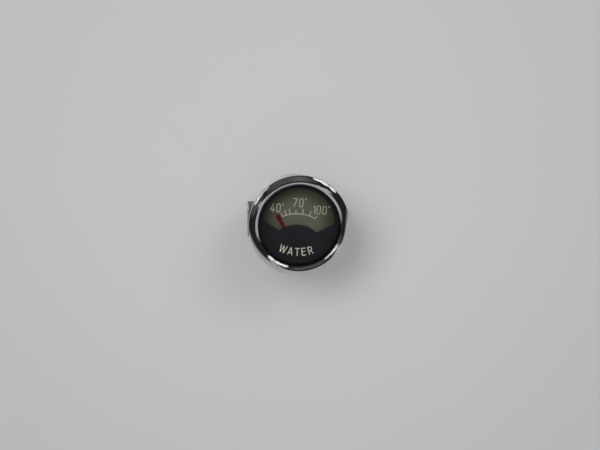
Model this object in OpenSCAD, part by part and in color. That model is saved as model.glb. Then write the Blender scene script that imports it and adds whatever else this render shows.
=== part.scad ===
// Electric water temperature gauge for a vehicle's instrument panel, with a 52 mm case.
// The dial faces -Y and its numbers stand upright along +Z. The gauge's axis is the Y axis,
// and y = 0 is the back of the bezel, where it rests on the panel.

/* [Case] */
// Outer radius of the case, which goes through the panel
case_r = 26; // [25:0.5:30]
// Sheet steel of the case
case_wall = 0.6; // [0.4:0.1:0.8]
// Depth of the case behind the panel's face
case_depth = 31; // [29:0.5:38]
// Outside bend radius where the case's side meets its back
case_corner_r = 2.2; // [1.5:0.1:3]
// Height of the round panel pressed out of the case's back to stiffen it
back_panel_h = 0.6; // [0.3:0.1:0.9]

/* [Bezel] */
// How far the bezel reaches past the case's side
bezel_over = 3; // [2.6:0.1:4]
// Sheet brass of the bezel
bezel_wall = 0.5; // [0.4:0.1:0.6]
// How far the bezel's highest line lies inside the case's outer radius
crest_in = 0.4; // [0:0.1:0.8]
// How far that line stands in front of the panel
crest_front = 5.6; // [5.2:0.1:6.6]
// Outside radius of the rounded crest
crest_round = 0.9; // [0.7:0.05:1.2]
// How far the edge of the opening lies inside the case's outer radius
opening_in = 2.3; // [2:0.1:3]
// Depth of the bezel's straight outer edge
rim_land = 3.5; // [3:0.1:4]
// How far the bezel's outer slope bulges from a straight line
slope_bulge = 0.08; // [0.04:0.01:0.2]
// Radius of the outer edge's rear corner
rim_round = 0.6; // [0.3:0.1:0.9]
// How far the bezel is rolled in behind the case's flange
roll_in = 2; // [1.2:0.1:2.2]

/* [Glass and dial] */
// Thickness of the glass
glass_t = 1.8; // [1.6:0.1:2.2]
// Thickness of the rubber ring under the glass
gasket_t = 0.8; // [0.6:0.1:1.2]
// Thickness of the black front plate
mask_t = 0.4; // [0.3:0.1:0.6]
// Depth of the black ring between the glass and the dial
shade_depth = 5.3; // [3:0.1:6]
// How far the black ring narrows towards the dial
shade_taper = 0.8; // [0.2:0.1:1.2]
// Room between the front plate and the scale plate, in which the pointer turns
pointer_room = 1.6; // [1.4:0.1:2.2]
// Thickness of the translucent scale plate
scale_t = 1; // [0.8:0.1:1.5]
// How far the window's outer arc lies inside the case's outer radius
window_in = 5; // [4:0.1:6]
// Radius of the black disc that the window's lower edge follows, about the pivot
hub_disc_r = 15.9; // [14:0.1:17]
// Half width at which the window's straight shoulders are measured
shoulder_x = 11.4; // [9:0.1:13]
// Height of the shoulders there, above the pivot
shoulder_up = 12.3; // [10:0.05:14]
// Rise of the shoulders towards the rim, in degrees
shoulder_rise = 27.3; // [20:0.1:35]

/* [Pointer] */
// Distance from the pivot down to the outside of the case
pivot_in = 9.65; // [9.3:0.05:11]
// Distance from the pivot to the pointer's tip
pointer_len = 24.4; // [20:0.1:26]
// Width of the pointer
pointer_w = 2; // [1.2:0.1:2.4]
// Thickness of the pointer
pointer_t = 0.4; // [0.3:0.05:0.5]
// Angle from the upright at which the pointer rests, below the cold mark
rest_deg = 31; // [28:0.5:34]
// Angle through which the pointer swings
swing_deg = 62; // [50:1:66]
// Length of the pointer's tail behind the pivot
tail_len = 6.6; // [5.5:0.1:7]
// Radius of the pointer's spindle
spindle_r = 0.6; // [0.5:0.05:0.8]
// Radial clearance of the spindle in its bearings
bearing_gap = 0.03; // [0.02:0.01:0.06]

/* [Movement] */
// How far each coil lies inside the mounting stud beside it
coil_in = 7.5; // [7:0.1:8]
// How far the coils lie below the mounting studs
coil_down = 6.5; // [6:0.1:7]
// Radius of the coils' soft iron cores
core_r = 2.2; // [1.8:0.1:2.6]
// Outer radius of the coils' copper windings
winding_r = 4.5; // [4:0.1:4.7]
// Outer radius of the bobbins' flanges
bobbin_r = 5; // [4.8:0.1:5.3]
// Length of each bobbin
bobbin_len = 6.6; // [6:0.1:8]
// Thickness of the bobbins' plastic
bobbin_wall = 0.5; // [0.4:0.1:0.7]
// Thickness of the iron vane and of the pole shoes beside it
iron_t = 1.4; // [1:0.1:1.8]
// Radius of the iron vane
vane_r = 5; // [4.2:0.1:5.5]
// Air gap between the vane and the pole shoes
air_gap = 0.5; // [0.35:0.05:0.8]
// Thickness of the movement's steel plate
frame_t = 1.2; // [1:0.1:1.6]
// How far the plate's edge lies inside the case's outer radius
frame_in = 3.5; // [2:0.1:4]
// Height of the steel plate's straight top edge over the gauge's axis
frame_top = 4.6; // [4.2:0.1:6]
// Radius of the bridge's pillars
pillar_r = 1.6; // [1.4:0.1:1.8]
// Gap between the hairspring's post and the pillar beside it
pillar_gap = 0.5; // [0.4:0.1:1]
// Thickness of the brass bridge
bridge_t = 1; // [0.8:0.1:1.4]
// Distance from the scale plate to the bridge
bridge_gap = 1.2; // [1:0.1:2]
// Turns of the hairspring
spring_turns = 3.5; // [2.5:0.5:4.5]
// Share of the room between the spindle and the coils that the hairspring fills
spring_share = 0.62; // [0.5:0.01:0.7]
// Thickness of the hairspring's strip
spring_strip = 0.16; // [0.1:0.02:0.24]

/* [Fixings] */
// Radius of the mounting studs
stud_r = 2; // [1.8:0.1:2.5]
// Distance from the mounting studs to the outside of the case
stud_in = 9; // [8:0.1:9.4]
// Angle by which the studs' line is turned from the level, its left end down
fixing_turn = 4; // [0:0.5:5]
// How far the mounting studs stand out behind the case
stud_out = 19; // [17:0.5:24]
// Sheet steel of the U bracket
bracket_t = 1; // [0.8:0.1:1.6]
// Width of the U bracket's strip
bracket_w = 16.4; // [14:0.1:18]
// Gap between the case's side and the bracket's legs
leg_gap = 2.3; // [2:0.1:3.5]
// Distance from the panel's face to the ends of the legs, as stored
leg_front = 5; // [4.8:0.1:6]
// Distance from the case's back to the bracket, as stored
bridge_back = 7; // [6.8:0.1:9]
// Inside bend radius of the bracket
bend_r = 2; // [1:0.1:3]
// Corner radius of the legs' ends
leg_round = 2.5; // [1:0.1:4]
// Radius of the knurled nuts
knurl_r = 5.5; // [5:0.1:6.5]
// Height of the knurled nuts
knurl_h = 8; // [6:0.5:9]
// Ridges round each knurled nut
knurl_count = 30; // [24:1:36]
// Radial clearance of the nuts on their studs
thread_gap = 0.06; // [0.03:0.01:0.09]

/* [Lamp] */
// Radius of the lamp holder where it pushes into the case
holder_r = 6; // [5.6:0.1:6.4]
// Radius of the lamp holder's flange
holder_flange_r = 7; // [6.8:0.1:7.2]
// Sheet steel of the lamp holder
holder_wall = 0.5; // [0.4:0.1:0.6]
// Radius of the bulb's glass
bulb_r = 4.4; // [4:0.1:4.8]
// Length of the bulb's glass in front of its cap
bulb_len = 12; // [9:0.5:13]
// Clearance between the lamp holder and its hole
holder_gap = 0.08; // [0.05:0.01:0.1]

/* [Terminals] */
// Radius of the terminal studs
terminal_r = 2; // [1.8:0.1:2.2]
// Distance of each terminal from the gauge's centre line
terminal_x = 8; // [7:0.1:9]
// Distance from the terminals down to the outside of the case
terminal_in = 10.5; // [9.5:0.1:11]
// How far the terminals stand out behind the case
terminal_out = 12; // [10:0.5:15]
// Width across the flats of the terminal nuts
nut_flats = 7; // [6:0.5:7.5]

/* [Hidden] */

// Faces on the round parts of the large pressings and of the small turned parts
round_fn = 128;
small_fn = 48;
// Gap between the pieces stacked in the case and the case's side
stack_gap = 0.1;
// Gap round a piece pressed or screwed onto a shaft of its own body
press_gap = 0.02;
// Gap between two bodies that pass each other
pass_gap = 0.35;
// Both hands of a mirrored pair
SIDES = [-1, 1];

// Depths of the stack, from the bezel's rolled edge forwards
flange_back = -bezel_wall;
flange_front = flange_back - case_wall;
glass_back = flange_front - gasket_t;
glass_front = glass_back - glass_t;
bezel_r = case_r + bezel_over;
crest_r = case_r - crest_in;
opening_r = case_r - opening_in;
glass_in = 2.4;
glass_r = bezel_r - glass_in;
flange_gap = 0.7;
flange_r = bezel_r - bezel_wall - flange_gap;
shade_gap = 0.2;
// Depths of the stack, from the glass backwards
mask_front = glass_back + shade_depth;
mask_back = mask_front + mask_t;
scale_front = mask_back + pointer_room;
scale_back = scale_front + scale_t;
stack_r = case_r - case_wall - stack_gap;
sleeve_wall = 0.7;
spacer_w = 1.1;
back_in = case_depth - case_wall;
window_r = case_r - window_in;

// Pointer and its bearings
pivot_z = pivot_in - case_r;
shoulder_z = pivot_z + shoulder_up;
pointer_front = mask_back + pass_gap;
pointer_back = pointer_front + pointer_t;
weight_over = 0.7;
weight_w = pointer_w + 2 * weight_over;
weight_h = 2.6;
hub_r = 1.7;
boss_over = 0.8;
hub_gap = 0.6;
spindle_hole_r = hub_r + hub_gap;
bridge_front = scale_back + bridge_gap;
bridge_rear = bridge_front + bridge_t;
collar_step = 0.6;
collar_r = spindle_r + collar_step;
collar_t = 0.5;
collar_space = 1.4;
vane_front = bridge_rear + pass_gap + 2 * collar_t + collar_space;
vane_back = vane_front + iron_t;
collet_gap = 1.2;
collet_front = vane_back + collet_gap;
collet_t = 1;
spring_w = 0.5;
frame_front = vane_back + bobbin_len;
frame_r = case_r - frame_in;
stud_x = case_r - stud_in;
coil_x = stud_x - coil_in;
coil_z = -coil_down;
coil_reach = norm([coil_x, coil_z - pivot_z]);
core_step = 0.6;
shoe_over = 0.6;
// Share of the vane's radius that its round middle has, and half the angle of a lobe
vane_waist = 0.46;
lobe_deg = 38;
frame_back = frame_front + frame_t;
rear_collar_back = frame_front - pass_gap;
bore_r = spindle_r + bearing_gap;

// Stops that catch the pointer's tail
stop_r = 0.5;
stop_in = 1.2;
stop_at = tail_len - stop_in;
stop_lead = asin((weight_w / 2 + stop_r + pass_gap) / stop_at);
stop_hole_gap = 0.3;
stop_edge = 0.9;
screw_r = 0.8;
screw_head_t = 0.7;
screw_slot = 0.4;

// Hairspring, from the collet out to its post
collet_r = 1.3;
spring_gap = 0.1;
spring_in = collet_r + spring_strip / 2 + spring_gap;
spring_out = spring_share * (coil_reach - bobbin_r);
post_r = 0.7;
post_at = spring_out + spring_strip / 2 + post_r + press_gap;
pillar_x = post_at + post_r + pillar_gap + pillar_r;
spring_steps = 24;

// Bracket and its nuts
leg_in = case_r + leg_gap;
bridge_in = case_depth + bridge_back;
bridge_out = bridge_in + bracket_t;
washer_t = 0.8;
washer_over = 2.3;
spring_over = 1.8;
sleeve_over = 1.2;
nut_t = 2.4;
nut_gap = 0.1;
nut_seat = bridge_out + washer_t + nut_gap;
knurl_depth = 0.35;
knurl_core = 1.3;
knurl_end = 0.8;
collar_h = 1.6;
stud_end = case_depth + stud_out;
stud_head_t = 1.6;
screw_gap = 0.3;
m4_flats = 7;

// Lamp
lamp_gap = 0.6;
lamp_z = bracket_w / 2 + holder_flange_r + lamp_gap;
holder_in = 6.5;
holder_out = 5.5;
holder_step = 0.9;
holder_body_r = holder_r - holder_step;
flange_t = 0.8;
holder_end = case_depth + flange_t + holder_out;
cap_gap = 0.1;
cap_r = holder_body_r - holder_wall - cap_gap;
cap_len = 7;
tip_r = 1.4;
tip_h = 0.9;
glass_neck = 1.2;
insulator_t = 1.6;
blade_w = 4.8;
blade_t = 0.8;
blade_len = 7;
blade_hole_in = 2.4;
cap_end = holder_end - insulator_t - blade_t;
// Radius of the pressed panel, which ends before the lamp's flange
panel_gap = 0.3;
back_panel_r = lamp_z - holder_flange_r - back_panel_h - panel_gap;

// Terminals
terminal_z = terminal_in - case_r;
bush_neck = 1;
bush_over = 2.3;
bush_flange_r = terminal_r + bush_over;
bush_t = 1.2;
head_t = 1.5;
terminal_washer_over = 1.9;
// How far the pitch line of the terminals' threads lies inside their crests
pitch_in = 0.22;
terminal_seat = case_depth + bush_t + washer_t;
terminal_nut_end = terminal_seat + nut_t;
hex_share = cos(30);

// Points on an arc, in degrees from the first axis
function arc(c, r, a0, a1, n = 10) =
    [for (i = [0 : n]) let (a = a0 + (a1 - a0) * i / n) [c[0] + r * cos(a), c[1] + r * sin(a)]];

// Points on an arc from p to q that stands out by the given height at its middle
function bulged(p, q, height, n = 10) =
    let (half = norm(q - p) / 2,
         r = (half * half + height * height) / (2 * height),
         side = [q[1] - p[1], p[0] - q[0]] / norm(q - p),
         c = (p + q) / 2 + side * (r - height),
         a0 = atan2(p[1] - c[1], p[0] - c[0]),
         turn = 2 * asin(half / r))
    [for (i = [0 : n]) let (a = a0 - turn * i / n) [c[0] + r * cos(a), c[1] + r * sin(a)]];

// Turns a profile of (radius, depth) about the gauge's axis
module turned(fn = round_fn) {
    rotate([-90, 0, 0]) rotate_extrude($fn = fn) children();
}

// Turns a profile about an axis parallel to the gauge's, at x and z
module turned_at(x, z) {
    translate([x, 0, z]) turned(small_fn) children();
}

// A sheet from depth y0 to y1 with the outline seen from the front
module sheet(y0, y1) {
    translate([0, y1, 0]) rotate([90, 0, 0]) linear_extrude(y1 - y0) children();
}

// A rod along the gauge's axis
module rod(x, z, r, y0, y1, fn = small_fn) {
    translate([x, y0, z]) rotate([-90, 0, 0]) cylinder(r = r, h = y1 - y0, $fn = fn);
}

// A tube along the gauge's axis
module tube(x, z, r, bore, y0, y1, fn = small_fn) {
    difference() {
        rod(x, z, r, y0, y1, fn);
        rod(x, z, bore, y0 - 1, y1 + 1, fn);
    }
}

// A hexagon nut or head, with a bore if one is given
module hexagon(x, z, flats, y0, y1, bore = 0) {
    difference() {
        rod(x, z, flats / 2 / hex_share, y0, y1, 6);
        if (bore > 0) rod(x, z, bore, y0 - 1, y1 + 1);
    }
}

// Angle at which a straight line from p touches a circle, as seen from the circle's centre
function touch_deg(p, c, r, side) =
    atan2(c[1] - p[1], c[0] - p[0]) + side * (asin(r / norm(c - p)) + 90);

// Chromed ring: rolled edge behind, straight rim, outer slope, rounded crest, inner slope
module bezel() {
    crest = [crest_r, crest_round - crest_front];
    rim = [bezel_r, -rim_land];
    lip = [opening_r, glass_front - bezel_wall];
    inner_round = crest_round - bezel_wall;
    bulge_deg = 2 * atan(2 * slope_bulge / norm(crest - rim));
    outer_deg = touch_deg(rim, crest, crest_round, 1) - bulge_deg;
    inner_deg = touch_deg(lip, crest, crest_round, -1);
    outer_slope = 90 + outer_deg + bulge_deg;
    inner_slope = -90 - inner_deg;
    color("gainsboro") turned() polygon(concat(
        [[bezel_r - roll_in, 0]],
        arc([bezel_r - rim_round, -rim_round], rim_round, 90, 0, 6),
        bulged(rim, arc(crest, crest_round, outer_deg, outer_deg, 1)[0], slope_bulge),
        arc(crest, crest_round, outer_deg, inner_deg, 12),
        [lip, [opening_r, glass_front], [opening_r + bezel_wall * tan(inner_slope / 2), glass_front]],
        arc(crest, inner_round, inner_deg, outer_deg, 8),
        [[bezel_r - bezel_wall, -rim_land + bezel_wall * tan(45 - outer_slope / 2)]],
        [[bezel_r - bezel_wall, flange_back], [bezel_r - roll_in, flange_back]]
    ));
}

// Flat glass held by the bezel's inner edge
module lens() {
    color("lightcyan", 0.4) rod(0, 0, glass_r, glass_front, glass_back, round_fn);
}

// Rubber ring that the glass is pressed onto
module lens_gasket() {
    color("#222222") tube(0, 0, glass_r, case_r - case_wall, glass_back, flange_front, round_fn);
}

// Matt black ring between the glass and the dial, narrower at the dial
module shade_ring() {
    near_r = opening_r + shade_gap;
    color("#1c1c1e") turned() polygon([
        [near_r, glass_back], [stack_r, glass_back],
        [stack_r, mask_front], [near_r - shade_taper, mask_front]
    ]);
}

// Outline of the black front plate's window
module window_outline() {
    low = shoulder_z - shoulder_x * tan(shoulder_rise);
    high = low + case_r * tan(shoulder_rise);
    difference() {
        circle(r = window_r, $fn = round_fn);
        translate([0, pivot_z]) circle(r = hub_disc_r, $fn = round_fn);
        polygon([[0, low], [case_r, high], [case_r, -case_r], [-case_r, -case_r], [-case_r, high]]);
    }
}

// Black front plate: the lower half hides the pivot, the window shows the scale
module dial_mask() {
    color("#202024") sheet(mask_front, mask_back) difference() {
        circle(r = stack_r, $fn = round_fn);
        window_outline();
    }
}

// Ring that keeps the pointer's room open between the two plates
module spacer_ring() {
    color("#2a2a2a") tube(0, 0, stack_r, stack_r - spacer_w, mask_back, scale_front, round_fn);
}

// Translucent plate that carries the scale and is lit from behind
module scale_plate() {
    color("#6f705c") difference() {
        rod(0, 0, stack_r, scale_front, scale_back, round_fn);
        rod(0, pivot_z, spindle_hole_r, scale_front - 1, scale_back + 1);
        stop_places() circle(r = stop_r + stop_hole_gap, $fn = small_fn);
    }
}

// White sleeve that carries the plates and spreads the lamp's light
module light_sleeve() {
    foot = stack_r - case_corner_r + case_wall;
    color("#f2f2ee") turned() polygon([
        [stack_r - sleeve_wall, scale_back], [stack_r, scale_back],
        [stack_r, back_in - case_corner_r], [foot, back_in], [foot - sleeve_wall, back_in],
        [stack_r - sleeve_wall, back_in - case_corner_r]
    ]);
}

// Pressed steel cup with a flange in front and the holes for the fixings behind
module case() {
    inner_corner = case_corner_r - case_wall;
    corner = [case_r - case_corner_r, case_depth - case_corner_r];
    color("#b9b6a6") difference() {
        turned() polygon(concat(
            [[0, back_in + back_panel_h], [back_panel_r, back_in + back_panel_h]],
            [[back_panel_r + back_panel_h, back_in]],
            arc(corner, inner_corner, 90, 0, 6),
            [[case_r - case_wall, flange_front], [flange_r, flange_front]],
            [[flange_r, flange_back], [case_r, flange_back]],
            arc(corner, case_corner_r, 0, 90, 8),
            [[back_panel_r + back_panel_h, case_depth]],
            [[back_panel_r, case_depth + back_panel_h], [0, case_depth + back_panel_h]]
        ));
        rod(0, lamp_z, holder_r + holder_gap, back_in - 1, case_depth + 1);
        on_studs() rod(0, 0, stud_r + screw_gap, back_in - 1, case_depth + 1);
        for (s = SIDES) rod(s * terminal_x, terminal_z, terminal_r + bush_neck + press_gap,
                            back_in - 1, case_depth + 1);
    }
}

// Places an outline upright on the pivot, turned to where the pointer rests
module on_pivot() {
    translate([0, pivot_z]) rotate(rest_deg) children();
}

// Red pointer with its boss and tail
module pointer() {
    color("#7c1822") sheet(pointer_front, pointer_back) on_pivot() difference() {
        union() {
            circle(r = hub_r + boss_over, $fn = small_fn);
            translate([-pointer_w / 2, -tail_len]) square([pointer_w, tail_len + pointer_len]);
        }
        circle(r = spindle_r + press_gap, $fn = small_fn);
    }
}

// Brass boss behind the pointer, pressed onto the spindle
module pointer_hub() {
    color("#c9a24a") tube(0, pivot_z, hub_r, spindle_r + press_gap, pointer_back,
                          bridge_front - pass_gap);
}

// Steel spindle with a pivot at each end and three collars
module pointer_spindle() {
    front_end = pointer_front + pointer_t / 4;
    color("#c4c7cc") turned_at(0, pivot_z) polygon([
        [0, front_end], [spindle_r, front_end],
        [spindle_r, bridge_rear + pass_gap], [collar_r, bridge_rear + pass_gap],
        [collar_r, bridge_rear + pass_gap + collar_t], [spindle_r, bridge_rear + pass_gap + collar_t],
        [spindle_r, vane_front - collar_t], [collar_r, vane_front - collar_t],
        [collar_r, vane_front], [spindle_r, vane_front],
        [spindle_r, rear_collar_back - collar_t], [collar_r, rear_collar_back - collar_t],
        [collar_r, rear_collar_back], [spindle_r, rear_collar_back],
        [spindle_r, frame_back - bearing_gap], [0, frame_back - bearing_gap]
    ]);
}

// Soft iron vane with two lobes that the coils turn
module armature() {
    lobe = vane_r * tan(lobe_deg);
    color("#8b8f94") sheet(vane_front, vane_back) on_pivot() difference() {
        union() {
            circle(r = vane_r * vane_waist, $fn = small_fn);
            intersection() {
                circle(r = vane_r, $fn = small_fn);
                for (s = SIDES) polygon([[0, 0], [s * vane_r, lobe], [s * vane_r, -lobe]]);
            }
        }
        circle(r = spindle_r + press_gap, $fn = small_fn);
    }
}

// Brass weight on the pointer's tail that balances the blade
module counterweight() {
    color("#b8923f") sheet(pointer_back, scale_front - pass_gap) on_pivot()
        translate([-weight_w / 2, -tail_len]) square([weight_w, weight_h]);
}

// Collet that holds the hairspring's inner end on the spindle
module spring_collet() {
    color("#c9a24a") tube(0, pivot_z, collet_r, spindle_r + press_gap, collet_front,
                          collet_front + collet_t);
}

// Flat spiral spring that brings the pointer back to rest
module hairspring() {
    last = spring_turns * spring_steps;
    reach = spring_out - spring_in;
    mid = [for (i = [0 : last]) let (a = 360 * i / spring_steps, r = spring_in + reach * i / last)
        [r, a]];
    inner = [for (p = mid) (p[0] - spring_strip / 2) * [cos(p[1]), sin(p[1])]];
    outer = [for (i = [last : -1 : 0]) (mid[i][0] + spring_strip / 2) * [cos(mid[i][1]), sin(mid[i][1])]];
    front = collet_front + (collet_t - spring_w) / 2;
    color("#d3c08a") sheet(front, front + spring_w) translate([0, pivot_z]) polygon(concat(inner, outer));
}

// Post on the steel plate that holds the hairspring's outer end
module hairspring_post() {
    a = 360 * spring_turns;
    color("#c9a24a")
        rod(post_at * cos(a), pivot_z + post_at * sin(a), post_r, collet_front, frame_front);
}

// Brass strip across the front of the movement with the front bearing
module front_bridge() {
    half_w = 2.6;
    color("#c9a24a") difference() {
        sheet(bridge_front, bridge_rear) translate([0, pivot_z]) union() {
            translate([-pillar_x, -half_w]) square([2 * pillar_x, 2 * half_w]);
            for (s = SIDES) translate([s * pillar_x, 0]) circle(r = half_w, $fn = small_fn);
            circle(r = stop_at + stop_r + stop_edge, $fn = small_fn);
        }
        rod(0, pivot_z, bore_r, bridge_front - 1, bridge_rear + 1);
        for (s = SIDES) rod(s * pillar_x, pivot_z, screw_r + press_gap, bridge_front - 1, bridge_rear + 1);
        stop_places() circle(r = stop_r + press_gap, $fn = small_fn);
    }
}

// Cuts or raises an outline at both stops
module stop_places() {
    for (s = SIDES) {
        a = 180 + rest_deg + (s < 0 ? -swing_deg - stop_lead : stop_lead);
        translate([-stop_at * sin(a), 0, pivot_z + stop_at * cos(a)])
            sheet(mask_back, frame_front) children();
    }
}

// Turned pillars between the steel plate and the bridge
module bridge_pillars() {
    color("#c9a24a") for (s = SIDES)
        tube(s * pillar_x, pivot_z, pillar_r, screw_r + press_gap, bridge_rear, frame_front);
}

// Cheese-head screws that hold the bridge on its pillars
module bridge_screws() {
    top = bridge_front - screw_head_t;
    color("#b9bcc0") for (s = SIDES) difference() {
        union() {
            rod(s * pillar_x, pivot_z, screw_r, bridge_front - screw_head_t / 2, frame_front - frame_t);
            rod(s * pillar_x, pivot_z, pillar_r, top, bridge_front);
        }
        translate([s * pillar_x - 2 * pillar_r, top - screw_head_t, pivot_z - screw_slot / 2])
            cube([4 * pillar_r, 1.5 * screw_head_t, screw_slot]);
    }
}

// Pins on the bridge that stop the pointer's tail at each end of its swing
module stop_pins() {
    color("#c4c7cc") intersection() {
        stop_places() circle(r = stop_r, $fn = small_fn);
        sheet(pointer_front, bridge_rear) circle(r = stack_r, $fn = small_fn);
    }
}

// Steel plate that carries the coils, the pillars and the rear bearing
module movement_plate() {
    color("#9fa3a8") difference() {
        sheet(frame_front, frame_back) intersection() {
            circle(r = frame_r, $fn = round_fn);
            translate([-frame_r, -frame_r]) square([2 * frame_r, frame_r + frame_top]);
        }
        rod(0, pivot_z, bore_r, frame_front - 1, frame_back + 1);
        on_studs() rod(0, 0, stud_r + press_gap, frame_front - 1, frame_back + 1);
        for (s = SIDES)
            rod(s * coil_x, coil_z, core_r - core_step + press_gap, frame_front - 1, frame_back + 1);
    }
}

// One soft iron core with the shoe that leads its field to the vane
module pole_piece(s) {
    aim = atan2(coil_z - pivot_z, s * coil_x);
    shoe_r = core_r + shoe_over;
    color("#8b8f94") {
        rod(s * coil_x, coil_z, core_r, vane_back, frame_front);
        rod(s * coil_x, coil_z, core_r - core_step, frame_front, frame_back);
        sheet(vane_front, vane_back) translate([0, pivot_z]) difference() {
            rotate(aim) union() {
                translate([0, -shoe_r]) square([coil_reach, 2 * shoe_r]);
                translate([coil_reach, 0]) circle(r = shoe_r, $fn = small_fn);
            }
            circle(r = vane_r + air_gap, $fn = small_fn);
        }
    }
}
module left_pole_piece() { pole_piece(-1); }
module right_pole_piece() { pole_piece(1); }

// Moulded bobbins on the two cores
module coil_bobbins() {
    tube_r = core_r + press_gap + bobbin_wall;
    color("#3a2a20") for (s = SIDES) turned_at(s * coil_x, coil_z) polygon([
        [core_r + press_gap, vane_back], [bobbin_r, vane_back],
        [bobbin_r, vane_back + bobbin_wall], [tube_r, vane_back + bobbin_wall],
        [tube_r, frame_front - bobbin_wall], [bobbin_r, frame_front - bobbin_wall],
        [bobbin_r, frame_front], [core_r + press_gap, frame_front]
    ]);
}

// Fine copper wire wound on the bobbins
module coil_windings() {
    color("#a5522a") for (s = SIDES)
        tube(s * coil_x, coil_z, winding_r, core_r + bobbin_wall + 2 * press_gap,
             vane_back + bobbin_wall, frame_front - bobbin_wall);
}

// Wire-wound resistor in its clip behind the steel plate
module calibration_resistor() {
    body_r = 1.9;
    body_len = 11;
    bore = 0.7;
    clip_t = 0.4;
    clip_w = 1.2;
    seat = frame_back + body_r + clip_t;
    color("#c8b48a") difference() {
        union() {
            translate([-body_len / 2, seat, coil_z]) rotate([0, 90, 0])
                cylinder(r = body_r, h = body_len, $fn = small_fn);
            for (s = SIDES) translate([s * body_len / 3 - clip_w / 2, frame_back, coil_z - body_r])
                cube([clip_w, body_r + clip_t, 2 * body_r]);
        }
        translate([-body_len, seat, coil_z]) rotate([0, 90, 0])
            cylinder(r = bore, h = 2 * body_len, $fn = small_fn);
    }
}

// Places a piece on the mounting studs, or on the stud of one side
module on_studs(sides = SIDES) {
    for (s = sides) rotate([0, -fixing_turn, 0]) translate([s * stud_x, 0, 0]) children();
}

// Studs that hold the movement in the case and stand out behind it for the bracket
module mounting_studs() {
    chamfer = 0.4;
    color("#c2c0b0") on_studs() {
        turned(small_fn) polygon([
            [0, frame_front], [stud_r, frame_front], [stud_r, stud_end - chamfer],
            [stud_r - chamfer, stud_end], [0, stud_end]
        ]);
        hexagon(0, 0, m4_flats, frame_front - stud_head_t, frame_front);
    }
}

// Distance sleeves on the studs between the steel plate and the case's back
module stud_sleeves() {
    color("#c9a24a") on_studs() tube(0, 0, stud_r + sleeve_over, stud_r + press_gap, frame_back, back_in);
}

// Washers on the case's back under the stud nuts
module stud_washers() {
    color("#c2c0b0") on_studs()
        tube(0, 0, stud_r + washer_over, stud_r + press_gap, case_depth, case_depth + washer_t);
}

// Hexagon nuts that clamp the case to the studs
module stud_nuts() {
    color("#c2c0b0") on_studs()
        hexagon(0, 0, m4_flats, case_depth + washer_t, case_depth + washer_t + nut_t, stud_r + press_gap);
}

// Outline of a strip bent to a U round the case, as seen along +Z
module u_outline(half_w, back, r) {
    middle = half_w - r;
    translate([-half_w, 0]) square([2 * half_w, back - r]);
    translate([-middle, 0]) square([2 * middle, back]);
    for (s = SIDES) translate([s * middle, back - r]) circle(r = r, $fn = small_fn);
}

// U bracket that presses on the back of the panel
module clamp_bracket() {
    color("#c4bf9c") difference() {
        rotate([0, -fixing_turn, 0]) difference() {
            translate([0, 0, -bracket_w / 2]) linear_extrude(bracket_w) difference() {
                u_outline(leg_in + bracket_t, bridge_out, bend_r + bracket_t);
                u_outline(leg_in, bridge_in, bend_r);
                translate([-2 * case_r, -1]) square([4 * case_r, leg_front + 1]);
            }
            for (s = SIDES) translate([-2 * case_r, 0, 0]) rotate([90, 0, 90]) linear_extrude(4 * case_r)
                leg_corner(s);
        }
        on_studs() rod(0, 0, stud_r + screw_gap, bridge_in - 1, bridge_out + 1);
    }
}

// What the rounded end of a leg leaves off one of its corners
module leg_corner(s) {
    difference() {
        translate([leg_front - 1, s > 0 ? bracket_w / 2 - leg_round : -bracket_w / 2 - 1])
            square([leg_round + 1, leg_round + 1]);
        translate([leg_front + leg_round, s * (bracket_w / 2 - leg_round)])
            circle(r = leg_round, $fn = small_fn);
    }
}

// Spring washers between the bracket and the knurled nuts
module bracket_washers() {
    color("#a9aaac") on_studs()
        tube(0, 0, stud_r + spring_over, stud_r + screw_gap, bridge_out, bridge_out + washer_t);
}

// One knurled nut: ridged grip and a plain collar towards the bracket
module knurled_nut(s) {
    ridges = [for (i = [0 : 2 * knurl_count - 1])
        let (r = knurl_r - (i % 2) * knurl_depth, a = 180 * i / knurl_count) r * [cos(a), sin(a)]];
    color("#d2b45c") on_studs([s]) difference() {
        union() {
            rod(0, 0, knurl_r - knurl_core, nut_seat, nut_seat + knurl_h);
            sheet(nut_seat + collar_h, nut_seat + knurl_h - knurl_end) polygon(ridges);
        }
        rod(0, 0, stud_r + thread_gap, nut_seat - 1, nut_seat + knurl_h + 1);
    }
}
module left_knurled_nut() { knurled_nut(-1); }
module right_knurled_nut() { knurled_nut(1); }

// Pressed holder that pushes into the case's back and takes the bulb
module lamp_holder() {
    color("#c6c4b4") turned_at(0, lamp_z) polygon([
        [holder_r - holder_wall, case_depth - holder_in], [holder_r, case_depth - holder_in],
        [holder_r, case_depth], [holder_flange_r, case_depth],
        [holder_flange_r, case_depth + flange_t], [holder_body_r, case_depth + flange_t],
        [holder_body_r, holder_end], [holder_body_r - holder_wall, holder_end],
        [holder_body_r - holder_wall, case_depth + flange_t - holder_wall],
        [holder_r - holder_wall, case_depth + flange_t - holder_wall]
    ]);
}

// Insulating disc that closes the holder and carries its contact
module lamp_insulator() {
    color("#5b3a22") difference() {
        rod(0, lamp_z, holder_body_r - holder_wall - press_gap, holder_end - insulator_t, holder_end);
        translate([-blade_w / 2 - press_gap, holder_end - 2 * insulator_t, lamp_z - blade_t / 2 - press_gap])
            cube([blade_w + 2 * press_gap, 3 * insulator_t, blade_t + 2 * press_gap]);
    }
}

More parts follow.
